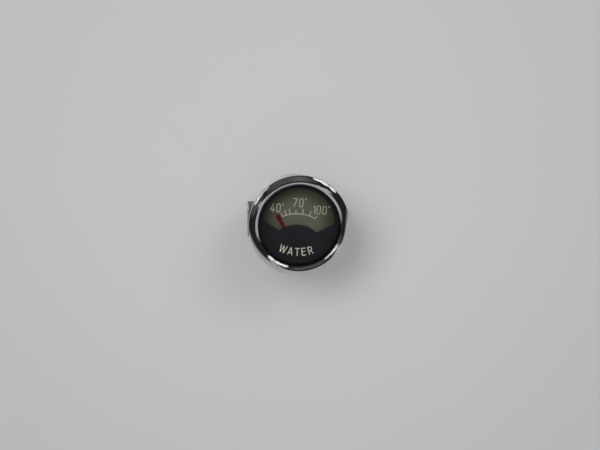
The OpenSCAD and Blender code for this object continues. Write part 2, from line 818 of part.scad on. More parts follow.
// Blade contact for the lamp's feed, with a pad inside that the bulb's tip presses on
module lamp_contact() {
    color("#cdb264") difference() {
        union() {
            translate([-blade_w / 2, holder_end - insulator_t, lamp_z - blade_t / 2])
                cube([blade_w, insulator_t + blade_len, blade_t]);
            rod(0, lamp_z, blade_w / 2, cap_end, holder_end - insulator_t);
        }
        translate([0, holder_end + blade_len - blade_hole_in, lamp_z - blade_t])
            cylinder(r = blade_t, h = 2 * blade_t, $fn = small_fn);
    }
}

// Metal cap of the bulb
module bulb_cap() {
    color("#cfcaa8") {
        rod(0, lamp_z, tip_r, cap_end - tip_h, cap_end);
        rod(0, lamp_z, cap_r, cap_end - tip_h - cap_len, cap_end - tip_h);
    }
}

// Glass of the bulb, a round-ended cylinder
module bulb_glass() {
    back = cap_end - tip_h - cap_len;
    color("#fdf6d8", 0.6) turned_at(0, lamp_z) polygon(concat(
        arc([0, back - bulb_len + bulb_r], bulb_r, -90, 0, 12),
        [[bulb_r, back - glass_neck], [cap_r, back], [0, back]]
    ));
}

// Brass terminal studs with their heads inside the case. As far as the nut holds them, they are
// drawn at the pitch line of their thread, and beyond it over its crests.
module terminal_studs() {
    chamfer = 0.4;
    inner = back_in - bush_t;
    end = case_depth + terminal_out;
    pitch_r = terminal_r - pitch_in;
    color("#cdb264") for (s = SIDES) {
        turned_at(s * terminal_x, terminal_z) polygon([
            [0, inner], [pitch_r, inner], [pitch_r, terminal_nut_end], [terminal_r, terminal_nut_end],
            [terminal_r, end - chamfer], [terminal_r - chamfer, end], [0, end]
        ]);
        hexagon(s * terminal_x, terminal_z, nut_flats, inner - head_t, inner);
    }
}

// Insulating bushes in the case's back
module terminal_bushes() {
    color("#5b3a22") for (s = SIDES) turned_at(s * terminal_x, terminal_z) polygon([
        [terminal_r + press_gap, back_in], [terminal_r + bush_neck, back_in],
        [terminal_r + bush_neck, case_depth], [bush_flange_r, case_depth],
        [bush_flange_r, case_depth + bush_t], [terminal_r + press_gap, case_depth + bush_t]
    ]);
}

// Insulating washers under the terminals' heads
module terminal_inner_washers() {
    color("#5b3a22") for (s = SIDES)
        tube(s * terminal_x, terminal_z, bush_flange_r, terminal_r + press_gap, back_in - bush_t, back_in);
}

// Plain washers between the bushes and the terminal nuts
module terminal_washers() {
    color("#cdb264") for (s = SIDES)
        tube(s * terminal_x, terminal_z, terminal_r + terminal_washer_over, terminal_r + press_gap,
             case_depth + bush_t, terminal_seat);
}

// Brass nuts that hold the terminals
module terminal_nuts() {
    color("#cdb264") for (s = SIDES)
        hexagon(s * terminal_x, terminal_z, nut_flats, terminal_seat, terminal_nut_end,
                terminal_r - pitch_in + press_gap);
}

bezel();
lens();
lens_gasket();
shade_ring();
dial_mask();
spacer_ring();
scale_plate();
light_sleeve();
case();
pointer();
pointer_hub();
pointer_spindle();
armature();
counterweight();
spring_collet();
hairspring();
hairspring_post();
front_bridge();
bridge_pillars();
bridge_screws();
stop_pins();
movement_plate();
left_pole_piece();
right_pole_piece();
coil_bobbins();
coil_windings();
calibration_resistor();
mounting_studs();
stud_sleeves();
stud_washers();
stud_nuts();
clamp_bracket();
bracket_washers();
left_knurled_nut();
right_knurled_nut();
lamp_holder();
lamp_insulator();
lamp_contact();
bulb_cap();
bulb_glass();
terminal_studs();
terminal_bushes();
terminal_inner_washers();
terminal_washers();
terminal_nuts();
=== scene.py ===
"""Electric water temperature gauge of the 52 mm class, as it lies on its back on a pale table.

The dial faces -Y, its numbers stand along +Z, and y = 0 is the back of the bezel. Blender's
units are metres. The sizes in the classes are millimetres, as on a drawing.
"""
import logging
import math
from dataclasses import dataclass
from enum import Enum
from typing import Callable, Sequence

import bpy
from mathutils import Matrix, Vector


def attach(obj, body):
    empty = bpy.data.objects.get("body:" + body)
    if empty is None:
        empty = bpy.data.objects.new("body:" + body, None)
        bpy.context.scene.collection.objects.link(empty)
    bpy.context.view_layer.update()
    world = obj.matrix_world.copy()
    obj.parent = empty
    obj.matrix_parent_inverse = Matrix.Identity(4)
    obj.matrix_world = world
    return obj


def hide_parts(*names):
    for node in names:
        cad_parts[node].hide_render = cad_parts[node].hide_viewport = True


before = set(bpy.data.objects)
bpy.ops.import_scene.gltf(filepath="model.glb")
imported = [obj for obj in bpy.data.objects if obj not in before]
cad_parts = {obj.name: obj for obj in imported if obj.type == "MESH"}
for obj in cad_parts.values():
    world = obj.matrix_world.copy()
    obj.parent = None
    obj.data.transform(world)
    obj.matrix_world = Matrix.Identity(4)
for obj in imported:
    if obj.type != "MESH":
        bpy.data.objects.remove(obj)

MM = 0.001
# Sizes that several pieces share, in millimetres, and the angles under which edges are smoothed
CASE_BACK = 31.0
PIVOT_Z = -16.35
STUD_OUT = 17.0
STUDS_LEAN = 4.0
PITCH = 0.7
THREAD_DEPTH = 0.54
FLATS = 7.0
NUT_T = 2.4
OVERCUT = 3.0
COUNTERSINK = 0.3
HEX_FACE = 0.96
HEX_OVER = 0.05
HEAD_BORE = 0.5
SHANK_UNDER = 0.02
SHANK_OVER = 0.1
NUT_BORE_IN = 0.25
THREAD_END_IN = 0.1
MERGE = 0.001
SHARP_DEG = 32.0
THREAD_SHARP_DEG = 25.0
NUT_SHARP_DEG = 20.0
KNURL_SHARP_DEG = 40.0
INK_SHARP_DEG = 50.0
Point = tuple[float, float]
Path = tuple[Sequence[Point], bool]
Colour = tuple[float, float, float]
Piece = bpy.types.Object
Socket = bpy.types.NodeSocket
log = logging.getLogger("gauge")


def linear(red: int, green: int, blue: int) -> Colour:
    """Turns a colour as seen, 0 to 255, into the linear colour that a shader reads."""
    shares = [value / 255 for value in (red, green, blue)]
    return tuple(s / 12.92 if s < 0.04045 else ((s + 0.055) / 1.055) ** 2.4 for s in shares)


def arc(centre: Point, radius: float, start: float, end: float, count: int = 8) -> list[Point]:
    """Points on an arc.

    Args:
        centre: Centre of the arc.
        radius: Its radius.
        start: First angle in degrees, from the first axis.
        end: Last angle in degrees.
        count: Number of steps between them.

    Returns:
        The points, both ends included.
    """
    turns = [math.radians(start + (end - start) * i / count) for i in range(count + 1)]
    return [(centre[0] + radius * math.cos(t), centre[1] + radius * math.sin(t)) for t in turns]


def bulged(first: Point, last: Point, height: float, count: int) -> list[Point]:
    """Points on a shallow arc that stands out to the left of the way from first to last.

    Args:
        first: Start of the arc.
        last: End of the arc.
        height: How far its middle stands out from the straight line.
        count: Number of steps.

    Returns:
        The points, both ends included.
    """
    along = Vector(last) - Vector(first)
    radius = ((along.length / 2) ** 2 + height * height) / (2 * height)
    side = Vector((along.y, -along.x)).normalized()
    centre = (Vector(first) + Vector(last)) / 2 + side * (radius - height)
    begin, finish = (math.degrees(math.atan2(y - centre.y, x - centre.x))
                     for x, y in (first, last))
    turn = (finish - begin + 180) % 360 - 180
    return arc((centre.x, centre.y), radius, begin, begin + turn, count)


def on_stud(side: int) -> Point:
    """Axis of the left (-1) or right (1) mounting stud in X and Z, on the line that they lean."""
    return arc((0, 0), side * STUD_OUT, STUDS_LEAN, STUDS_LEAN, 1)[0]


class Cut(Enum):
    """What a cutting tool leaves of a piece."""

    OUTSIDE = "DIFFERENCE"
    INSIDE = "INTERSECT"


class Bench:
    """Modelling steps shared by all pieces, which are modelled on the gauge's axis.

    Sizes go in as millimetres. Front and back are depths along the axis.
    """

    @staticmethod
    def only(*pieces: Piece) -> None:
        """Leaves edit mode and selects nothing but the given pieces.

        Args:
            pieces: The pieces, the active one first.
        """
        if bpy.context.object and bpy.context.object.mode != "OBJECT":
            bpy.ops.object.mode_set(mode="OBJECT")
        bpy.ops.object.select_all(action="DESELECT")
        for piece in pieces:
            piece.select_set(True)
            bpy.context.view_layer.objects.active = pieces[0]

    @staticmethod
    def edit(piece: Piece, action: str = "SELECT") -> None:
        """Goes into edit mode.

        Args:
            piece: The piece to edit.
            action: SELECT for all of it selected, DESELECT for nothing selected.
        """
        Bench.only(piece)
        bpy.ops.object.mode_set(mode="EDIT")
        bpy.ops.mesh.select_all(action=action)

    @staticmethod
    def pick_edges(piece: Piece, rule: Callable[[Vector, Vector], bool]) -> None:
        """Goes into edit mode with some edges selected.

        Args:
            piece: The piece to edit.
            rule: Says for an edge's middle and its direction whether it is wanted.
        """
        Bench.edit(piece, "DESELECT")
        bpy.ops.mesh.select_mode(type="EDGE")
        Bench.only(piece)
        for edge in piece.data.edges:
            one, two = (piece.data.vertices[i].co for i in edge.vertices)
            edge.select = rule((one + two) / 2 / MM, (two - one).normalized())
        bpy.ops.object.mode_set(mode="EDIT")

    @staticmethod
    def close_up(piece: Piece, smooth: float = SHARP_DEG) -> Piece:
        """Merges doubles, turns the faces outwards and smooths what isn't an edge.

        Args:
            piece: The piece to finish.
            smooth: Edges under this angle in degrees are smoothed.

        Returns:
            The same piece, with its place in its mesh.
        """
        Bench.only(piece)
        bpy.ops.object.transform_apply(location=True, rotation=True, scale=True)
        Bench.edit(piece)
        bpy.ops.mesh.remove_doubles(threshold=MERGE * MM)
        bpy.ops.mesh.normals_make_consistent(inside=False)
        Bench.only(piece)
        bpy.ops.object.shade_smooth_by_angle(angle=math.radians(smooth))
        return piece

    @staticmethod
    def apply(piece: Piece, kind: str, **values: object) -> Piece:
        """Adds a modifier, sets it and applies it.

        Args:
            piece: The piece to change.
            kind: The modifier's type.
            values: Its settings.

        Returns:
            The same piece.
        """
        Bench.only(piece)
        step = piece.modifiers.new(kind.title(), kind)
        for name, value in values.items():
            setattr(step, name, value)
        bpy.ops.object.modifier_apply(modifier=step.name)
        return piece

    @staticmethod
    def soften(piece: Piece, width: float, rows: int = 2) -> Piece:
        """Rounds all sharp edges by a small bevel of the given width."""
        return Bench.apply(piece, "BEVEL", width=width * MM, segments=rows, limit_method="ANGLE",
                           angle_limit=math.radians(SHARP_DEG), harden_normals=False)

    @staticmethod
    def carve(piece: Piece, tool: Piece, cut: Cut = Cut.OUTSIDE) -> None:
        """Cuts a piece by a tool, which is then thrown away."""
        Bench.apply(piece, "BOOLEAN", operation=cut.value, object=tool, solver="EXACT")
        bpy.data.objects.remove(tool)

    @staticmethod
    def join(*pieces: Piece) -> Piece:
        """Makes meshes one piece.

        Args:
            pieces: The meshes.

        Returns:
            The first of them, which has taken in the others.
        """
        Bench.only(*pieces)
        if len(pieces) > 1:
            bpy.ops.object.join()
        return pieces[0]

    @staticmethod
    def twin(piece: Piece, at: Point) -> Piece:
        """Copies a piece with its own mesh.

        Args:
            piece: The piece to copy.
            at: Axis in X and Z on which the copy goes.

        Returns:
            The copy, with its place in its mesh.
        """
        copy = piece.copy()
        copy.data = piece.data.copy()
        bpy.context.scene.collection.objects.link(copy)
        copy.data.transform(Matrix.Translation((at[0] * MM, 0, at[1] * MM)))
        return copy

    @staticmethod
    def place(piece: Piece, *spots: Point) -> Piece:
        """Puts a piece on one or more other axes in place of the gauge's own.

        Args:
            piece: The piece.
            spots: The axes in X and Z.

        Returns:
            The piece at all these places, as one.
        """
        copies = [Bench.twin(piece, spot) for spot in spots]
        bpy.data.objects.remove(piece)
        return Bench.join(*copies)

    @staticmethod
    def outline(points: Sequence[Sequence[float]], ring: bool = True) -> Piece:
        """Starts a piece from a circle whose points are drawn out to an outline.

        Args:
            points: The outline's corners.
            ring: Whether the last corner joins the first.

        Returns:
            The outline, as edges only.
        """
        Bench.only()
        bpy.ops.mesh.primitive_circle_add(vertices=len(points), radius=MM, fill_type="NOTHING")
        piece = bpy.context.object
        for vertex, point in zip(piece.data.vertices, points):
            vertex.co = Vector(point) * MM
        if not ring:
            middle = (Vector(points[0]) + Vector(points[-1])) / 2
            gap = (Vector(points[0]) - Vector(points[-1])).normalized()
            Bench.pick_edges(piece, lambda at, way: (at - middle).length < 1e-4
                             and abs(way.dot(gap)) > 0.999)
            bpy.ops.mesh.delete(type="EDGE")
            Bench.only(piece)
        return piece

    @staticmethod
    def turn(profile: Sequence[Point], steps: int = 64, hollow: bool = True) -> Piece:
        """Spins a profile about the axis.

        Args:
            profile: Its corners as (radius, depth). A hollow profile closes on itself, a solid
                one starts and ends on the axis.
            steps: Facets round the axis.
            hollow: Whether the profile closes on itself.

        Returns:
            The turned piece.
        """
        piece = Bench.outline([(r, y, 0) for r, y in profile], hollow)
        Bench.edit(piece)
        bpy.ops.mesh.spin(steps=steps, angle=math.tau, center=(0, 0, 0), axis=(0, 1, 0))
        return Bench.close_up(piece)

    @staticmethod
    def prism(shape: Sequence[Point], front: float, back: float) -> Piece:
        """Extrudes an outline along the axis.

        Args:
            shape: Corners as (x, z).
            front: Where it starts.
            back: Where it ends.

        Returns:
            The closed prism.
        """
        piece = Bench.outline([(x, front, z) for x, z in shape])
        Bench.edit(piece)
        bpy.ops.mesh.edge_face_add()
        bpy.ops.mesh.extrude_region_move(
            TRANSFORM_OT_translate={"value": (0, (back - front) * MM, 0)})
        return Bench.close_up(piece)

    @staticmethod
    def rod(radius: float, front: float, back: float, steps: int = 48,
            edge: float = 0.15) -> Piece:
        """Turns a rod with small chamfers at both ends.

        Args:
            radius: Its radius.
            front: Its front end.
            back: Its back end.
            steps: Facets round it.
            edge: Size of the chamfers.

        Returns:
            The rod.
        """
        return Bench.turn([(0, front), (radius - edge, front), (radius, front + edge),
                           (radius, back - edge), (radius - edge, back), (0, back)],
                          steps, hollow=False)

    @staticmethod
    def thread(radius: float, front: float, back: float, steps: int = 24) -> Piece:
        """Winds a screw thread, cuts it square at both ends and chamfers its back end.

        Args:
            radius: Radius over the crests.
            front: Its front end.
            back: Its back end.
            steps: Facets in one turn.

        Returns:
            The threaded rod.
        """
        root = radius - THREAD_DEPTH * PITCH
        tooth = ((root, 0), (root, 0.1), (radius, 0.45), (radius, 0.55), (root, 0.9), (root, 1))
        piece = Bench.outline([(r, front + (y - 1) * PITCH, 0) for r, y in tooth], False)
        Bench.apply(piece, "SCREW", axis="Y", angle=math.tau, screw_offset=PITCH * MM,
                    iterations=math.ceil((back - front) / PITCH) + 2, steps=steps,
                    render_steps=steps)
        Bench.close_up(piece)
        for depth, inner in ((front, True), (back, False)):
            Bench.edit(piece)
            bpy.ops.mesh.bisect(plane_co=(0, depth * MM, 0), plane_no=(0, 1, 0), use_fill=True,
                                clear_inner=inner, clear_outer=not inner, threshold=1e-5 * MM)
        Bench.only(piece)
        for vertex in piece.data.vertices:
            most = (root - THREAD_END_IN + max(0.0, back - vertex.co.y / MM)) * MM
            ratio = min(1.0, most / max(math.hypot(vertex.co.x, vertex.co.z), 1e-9))
            vertex.co = vertex.co * Vector((ratio, 1, ratio))
        return Bench.close_up(piece, THREAD_SHARP_DEG)

    @staticmethod
    def hexagon(front: float, back: float, bore: float, turned: float = 0.0) -> Piece:
        """A hexagon nut with turned chamfers and a countersunk bore.

        Args:
            front: Its front face.
            back: Its back face.
            bore: Radius of the bore.
            turned: Angle in degrees by which the nut happens to be turned.

        Returns:
            The nut.
        """
        corner = FLATS / 2 / math.cos(math.radians(30))
        nut = Bench.prism(arc((0, 0), corner, turned, turned + 300, 5), front, back)
        face, out, sink = FLATS / 2 * HEX_FACE, corner + HEX_OVER, COUNTERSINK
        drop = (corner - face) * math.tan(math.radians(30))
        ring = Bench.turn([
            (bore, front + sink), (bore + sink, front), (face, front), (out, front + drop),
            (out, back - drop), (face, back), (bore + sink, back), (bore, back - sink)], 96)
        Bench.carve(nut, ring, Cut.INSIDE)
        return Bench.close_up(nut, NUT_SHARP_DEG)

    @staticmethod
    def bolts(spots: Sequence[Point], radius: float, depths: Sequence[float],
              plain: float) -> Piece:
        """Hexagon bolts.

        Args:
            spots: Their axes in X and Z.
            radius: Radius of their threads.
            depths: Front and back of their heads, and their ends.
            plain: Length behind the heads that has no thread.

        Returns:
            The bolts as one piece.
        """
        head, seat, end = depths
        bolt = Bench.join(Bench.thread(radius, seat + plain, end),
                          Bench.hexagon(head, seat, HEAD_BORE),
                          Bench.rod(radius - SHANK_UNDER, seat, seat + plain + SHANK_OVER))
        return Bench.place(bolt, *spots)

    @staticmethod
    def nuts(turns: dict[Point, float], radius: float, seat: float) -> Piece:
        """Hexagon nuts on bolts.

        Args:
            turns: For each axis the angle in degrees by which its nut happens to be turned.
            radius: Radius of the bolts' threads.
            seat: Depth that they are screwed down to.

        Returns:
            The nuts as one piece.
        """
        return Bench.join(*(
            Bench.place(Bench.hexagon(seat, seat + NUT_T, radius - NUT_BORE_IN, turned), at)
            for at, turned in turns.items()))

    @staticmethod
    def strokes(paths: Sequence[Path], width: float, face: float, rise: float = 0.02) -> Piece:
        """Lays printed strokes on a flat face that looks forwards.

        Args:
            paths: For each stroke its points as (x, z), and whether it closes on itself.
            width: Width of the strokes.
            face: Depth of the face that carries them.
            rise: Thickness of the ink.

        Returns:
            The strokes as one mesh, half sunk into the face.
        """
        Bench.only()
        bpy.ops.curve.primitive_bezier_curve_add()
        line = bpy.context.object
        curve = line.data
        curve.splines.clear()
        curve.dimensions = "3D"
        curve.bevel_depth = width / 2 * MM
        curve.bevel_resolution = 3
        curve.use_fill_caps = True
        for path, ring in paths:
            spline = curve.splines.new("POLY")
            spline.points.add(len(path) - 1)
            spline.use_cyclic_u = ring
            for point, (x, z) in zip(spline.points, path):
                point.co = (x * MM, 0, z * MM, 1)
        bpy.ops.object.convert(target="MESH")
        flat = Matrix.Diagonal((1, 2 * rise / width, 1, 1))
        line.data.transform(Matrix.Translation((0, face * MM, 0)) @ flat)
        return Bench.close_up(line, INK_SHARP_DEG)


class Graph:
    """The nodes of a material or of the world: adds nodes and joins them."""

    def __init__(self, owner: bpy.types.ID, space: str = "Object") -> None:
        """Starts without nodes but the one that says where a pattern is looked up.

        Args:
            owner: The material or world.
            space: The coordinates that it is looked up in.
        """
        owner.use_nodes = True
        self.owner, self.tree = owner, owner.node_tree
        self.tree.nodes.clear()
        self.place = self.add("TexCoord").outputs[space]

    def add(self, kind: str, sockets: dict | None = None, **settings: object) -> bpy.types.Node:
        """Adds a shader node.

        Args:
            kind: The node's type without its prefix.
            sockets: For each input a number or colour, or the output that feeds it.
            settings: The node's own settings.

        Returns:
            The node.
        """
        node = self.tree.nodes.new("ShaderNode" + kind)
        for name, value in settings.items():
            setattr(node, name, value)
        for name, value in (sockets or {}).items():
            if isinstance(value, Socket):
                self.tree.links.new(value, node.inputs[name])
            elif isinstance(value, tuple) and node.inputs[name].type == "RGBA":
                node.inputs[name].default_value = (*value, 1.0)
            else:
                node.inputs[name].default_value = value
        return node

    def noise(self, size: float, detail: float, stretch: Sequence[float] = (1, 1, 1),
              at: Sequence[float] = (0, 0, 0)) -> Socket:
        """Cloudy noise.

        Args:
            size: Size of its patches in millimetres.
            detail: How many finer layers it has.
            stretch: How much longer the patches are along X, Y and Z.
            at: Where the pattern starts, in millimetres.

        Returns:
            The noise, from 0 to 1.
        """
        shrink = tuple(1 / (size * MM * s) for s in stretch)
        spot = self.add("Mapping", {"Vector": self.place, "Scale": shrink,
                                    "Location": tuple(-a * MM * s for a, s in zip(at, shrink))})
        return self.add("TexNoise", {"Vector": spot.outputs[0], "Scale": 1.0, "Detail": detail,
                                     "Roughness": 0.55}).outputs[0]

    def ramp(self, value: Socket, low: float, high: float, first: float = 0.0,
             last: float = 1.0) -> Socket:
        """Stretches a value from low..high to first..last, and stops it there."""
        return self.add("MapRange", {"Value": value, "From Min": low, "From Max": high,
                                     "To Min": first, "To Max": last}).outputs[0]

    def mix(self, share: Socket, one: Colour | Socket, two: Colour | Socket,
            limit: bool = True) -> Socket:
        """Mixes two colours by the share of the second, which a limit holds at 1."""
        return self.add("Mix", {0: share, 6: one, 7: two}, data_type="RGBA",
                        clamp_factor=limit).outputs[2]

    def math(self, how: str, *values: float | Socket) -> Socket:
        """Works out one number from up to three."""
        return self.add("Math", dict(enumerate(values)), operation=how).outputs[0]

    def vector(self, how: str, *values: Sequence[float] | Socket) -> Socket:
        """Works out one number from up to two vectors."""
        return self.add("VectorMath", dict(enumerate(values)), operation=how).outputs["Value"]

    def bump(self, height: Socket, depth: float, **under: Socket) -> Socket:
        """Normal of a relief as deep in millimetres as given, on the Normal under it."""
        return self.add("Bump", {"Height": height, "Distance": depth * MM, "Strength": 1.0,
                                 **under}).outputs[0]

    def close(self, shader: bpy.types.Node, output: str = "OutputMaterial") -> bpy.types.ID:
        """Joins the shader to the output and hands over the material or world."""
        self.add(output, {0: shader.outputs[0]})
        return self.owner


class Marks(Enum):
    """How a surface was worked, which sets the run of its fine marks along X, Y and Z."""

    PLATED = (1.0, 1.0, 1.0)
    DRAWN = (1.0, 40.0, 1.0)
    ROLLED = (25.0, 1.0, 1.0)
    WRAPPED = (1.0, 0.02, 1.0)


@dataclass(frozen=True)
class Finish:
    """What every finish has: its name and the record's material slot it stands for."""

    name: str
    slot: str

    def make(self) -> bpy.types.Material:
        """Builds the material."""
        graph = Graph(bpy.data.materials.new(self.name))
        return graph.close(graph.add("BsdfPrincipled", self.surface(graph)))

    def surface(self, graph: Graph) -> dict[str, object]:
        """What goes into the shader's sockets."""
        raise NotImplementedError


@dataclass(frozen=True)
class Metal(Finish):
    """Bare or plated metal with cloudy tarnish, working marks and a small relief."""

    colour: Colour
    tarnish: Colour
    rough: Point
    marks: Marks = Marks.PLATED
    mark_size: float = 0.12
    mark_depth: float = 0.003
    patch: float = 2.0
    amount: float = 0.7
    metallic: float = 1.0
    cloud_range: Point = (0.4, 0.72)
    speck_size: float = 0.5
    speck_range: Point = (0.62, 0.74)
    speck_amount: float = 0.3
    cloud_share: float = 0.6
    gloss_range: Point = (0.3, 0.7)

    def surface(self, graph: Graph) -> dict[str, object]:
        """Works out tarnish in clouds and specks, and gloss and relief from clouds and marks.

        Args:
            graph: The material's nodes.

        Returns:
            What goes into the shader's sockets.
        """
        cloud = graph.noise(self.patch, 4)
        fine = graph.noise(self.mark_size, 3, self.marks.value)
        tone = graph.mix(graph.ramp(cloud, *self.cloud_range, 0.0, self.amount), self.colour,
                         self.tarnish)
        specks = graph.ramp(graph.noise(self.speck_size, 2), *self.speck_range, 0.0,
                            self.speck_amount)
        worn = graph.math("ADD", graph.math("MULTIPLY", cloud, self.cloud_share),
                          graph.math("MULTIPLY", fine, 1 - self.cloud_share))
        relief = graph.bump(fine, self.mark_depth, Normal=graph.bump(cloud, self.mark_depth * 3))
        return {"Base Color": graph.mix(specks, tone, self.tarnish), "Metallic": self.metallic,
                "Roughness": graph.ramp(worn, *self.gloss_range, *self.rough), "Normal": relief}


@dataclass(frozen=True)
class Paint(Finish):
    """Paint, plastic or rubber: a body colour with clouding, dust and a fine skin."""

    colour: Colour
    shade: Colour
    rough: Point
    patch: float
    skin: float
    skin_depth: float
    dust: float
    dust_colour: Colour
    specular: float = 0.5
    shade_range: Point = (0.35, 0.7)
    dust_size: float = 0.35
    dust_at: tuple[float, float, float] = (3.0, 5.0, 7.0)
    dust_range: Point = (0.6, 0.8)
    dust_dull: float = 0.6
    gloss_range: Point = (0.35, 0.75)

    def surface(self, graph: Graph) -> dict[str, object]:
        """Works out body colour under dust, which is duller, and the relief of the skin.

        Args:
            graph: The material's nodes.

        Returns:
            What goes into the shader's sockets.
        """
        cloud = graph.noise(self.patch, 3)
        dust = graph.ramp(graph.noise(self.dust_size, 2, at=self.dust_at), *self.dust_range, 0.0,
                          self.dust)
        dull = graph.math("ADD", cloud, graph.math("MULTIPLY", dust, self.dust_dull))
        return {"Base Color": graph.mix(dust, self.body(graph, cloud), self.dust_colour),
                "Roughness": graph.ramp(dull, *self.gloss_range, *self.rough),
                "Specular IOR Level": self.specular,
                "Normal": graph.bump(graph.noise(self.skin, 2), self.skin_depth)}

    def body(self, graph: Graph, cloud: Socket) -> Socket:
        """Body colour with its clouding."""
        return graph.mix(graph.ramp(cloud, *self.shade_range), self.colour, self.shade)


@dataclass(frozen=True)
class PlateWithPaintedShade(Paint):
    """Painted plate with painted shade: its colour darkens towards its edge, as the recess shades
    it.
    """

    # Painted shade: full colour within the first radius, the shade colour from the second radius
    # outwards
    centre: Point = (0.8, 1.2)
    unshaded_r: float = 10.0
    full_shade_r: float = 24.0
    painted_shade_colour: Colour = linear(38, 38, 32)

    def body(self, graph: Graph, cloud: Socket) -> Socket:
        """Works out the body colour with painted shade, darker far from the plate's middle.

        Args:
            graph: The material's nodes.
            cloud: The clouding, from 0 to 1.

        Returns:
            The colour.
        """
        # painted shade: the colour darkens from the first radius to the second round the centre
        spot = graph.add("Mapping", {"Vector": graph.place, "Scale": (1, 0, 1),
                                     "Location": (-self.centre[0] * MM, 0, -self.centre[1] * MM)})
        share = graph.ramp(graph.vector("LENGTH", spot.outputs[0]), self.unshaded_r * MM,
                           self.full_shade_r * MM)
        return graph.mix(share, super().body(graph, cloud), self.painted_shade_colour)


@dataclass(frozen=True)
class Glass(Finish):
    """Clear glass with faint smears on its surface."""

    colour: Colour
    rough: float
    smear_size: float = 9.0
    smear_run: tuple[float, float, float] = (1.0, 1.0, 3.0)
    tint_range: Point = (0.4, 0.8)
    rough_range: Point = (0.5, 0.75)
    dulled: float = 0.985

    def surface(self, graph: Graph) -> dict[str, object]:
        """Works out a faint tint, rougher and duller in the smears.

        Args:
            graph: The material's nodes.

        Returns:
            What goes into the shader's sockets.
        """
        smear = graph.noise(self.smear_size, 5, self.smear_run)
        dull = tuple(c * self.dulled for c in self.colour)
        return {"Base Color": graph.mix(graph.ramp(smear, *self.tint_range), self.colour, dull),
                "Roughness": graph.ramp(smear, *self.rough_range, 0.0, self.rough),
                "IOR": 1.5, "Transmission Weight": 1.0}


@dataclass(frozen=True)
class Winding(Finish):
    """Fine enamelled wire lying turn by turn."""

    colour: Colour = linear(150, 72, 38)
    # colour of the stains and of the painted shade in the gaps between turns
    stain_and_gap_shade: Colour = linear(70, 30, 18)
    wire: float = 0.14
    stain_size: float = 1.5
    stain: float = 0.4
    rough: Point = (0.3, 0.5)

    def surface(self, graph: Graph) -> dict[str, object]:
        """Works out rows of wire along the axis, with painted shade in the gaps between turns and
        some stains.

        Args:
            graph: The material's nodes.

        Returns:
            What goes into the shader's sockets.
        """
        depth = graph.add("SeparateXYZ", {0: graph.place}).outputs[1]
        phase = graph.math("MULTIPLY", depth, math.tau / (self.wire * MM))
        wave = graph.math("MULTIPLY_ADD", graph.math("SINE", phase), 0.5, 0.5)
        cloud = graph.noise(self.stain_size, 3)
        stain = graph.ramp(cloud, 0.4, 0.8, 0.0, self.stain)
        # painted shade: the gaps between turns are darkened, and the stains darken the wire
        # further
        tone = graph.mix(stain, graph.mix(wave, self.stain_and_gap_shade, self.colour), self.stain_and_gap_shade)
        return {"Base Color": tone, "Metallic": 0.7, "Normal": graph.bump(wave, self.wire / 2),
                "Roughness": graph.ramp(cloud, 0.3, 0.7, *self.rough)}


CHROME = Metal("chrome_plate", "chrome", linear(222, 223, 226), linear(200, 201, 202),
               (0.035, 0.09), mark_size=0.5, mark_depth=0.0006, patch=7.0, amount=0.5)
ZINC = Metal("zinc_plate", "zinc_steel", linear(188, 187, 176), linear(150, 145, 122),
             (0.28, 0.42), mark_size=0.15, patch=3.5)
CASE_ZINC = Metal("drawn_case", "zinc_steel", linear(206, 205, 198), linear(170, 167, 150),
                  (0.26, 0.42), Marks.DRAWN, 0.3, 0.004, patch=7.0, amount=0.5)
STRAP_ZINC = Metal("rolled_strap", "zinc_steel", linear(210, 209, 204), linear(186, 183, 172),
                   (0.3, 0.44), Marks.ROLLED, 0.14, patch=5.0, amount=0.5, metallic=0.8)
STUD_ZINC = Metal("stud_plate", "zinc_steel", linear(194, 193, 184), linear(140, 136, 118),
                  (0.24, 0.38), mark_size=0.1, patch=1.5)
BRASS = Metal("brass", "brass", linear(205, 172, 100), linear(140, 104, 52), (0.22, 0.38),
              patch=2.5)
KNURL_BRASS = Metal("turned_brass", "brass", linear(208, 176, 104), linear(142, 108, 56),
                    (0.24, 0.4), Marks.WRAPPED)
BRIGHT = Metal("bright_steel", "bright_steel", linear(196, 198, 202), linear(150, 150, 150),
               (0.15, 0.28), Marks.WRAPPED, 0.1, 0.002, amount=0.5)
IRON = Metal("soft_iron", "soft_iron", linear(128, 130, 134), linear(84, 80, 76), (0.35, 0.5),
             Marks.ROLLED, 0.15)
BRONZE = Metal("spring_bronze", "spring_bronze", linear(200, 182, 122), linear(150, 120, 70),
               (0.2, 0.35), mark_size=0.1, mark_depth=0.001, patch=1.0, amount=0.5)
DIAL_BLACK = Paint("dial_black", "dial_black", linear(38, 38, 42), linear(34, 34, 38),
                   (0.55, 0.68), patch=8.0, skin=0.3, skin_depth=0.0004, dust=0.02,
                   dust_colour=linear(60, 60, 62), specular=0.05)
SHADE_BLACK = Paint("shade_black", "dial_black", linear(14, 14, 16), linear(10, 10, 12),
                    (0.55, 0.7), patch=5.0, skin=0.2, skin_depth=0.006, dust=0.04,
                    dust_colour=linear(50, 50, 52), specular=0.15)
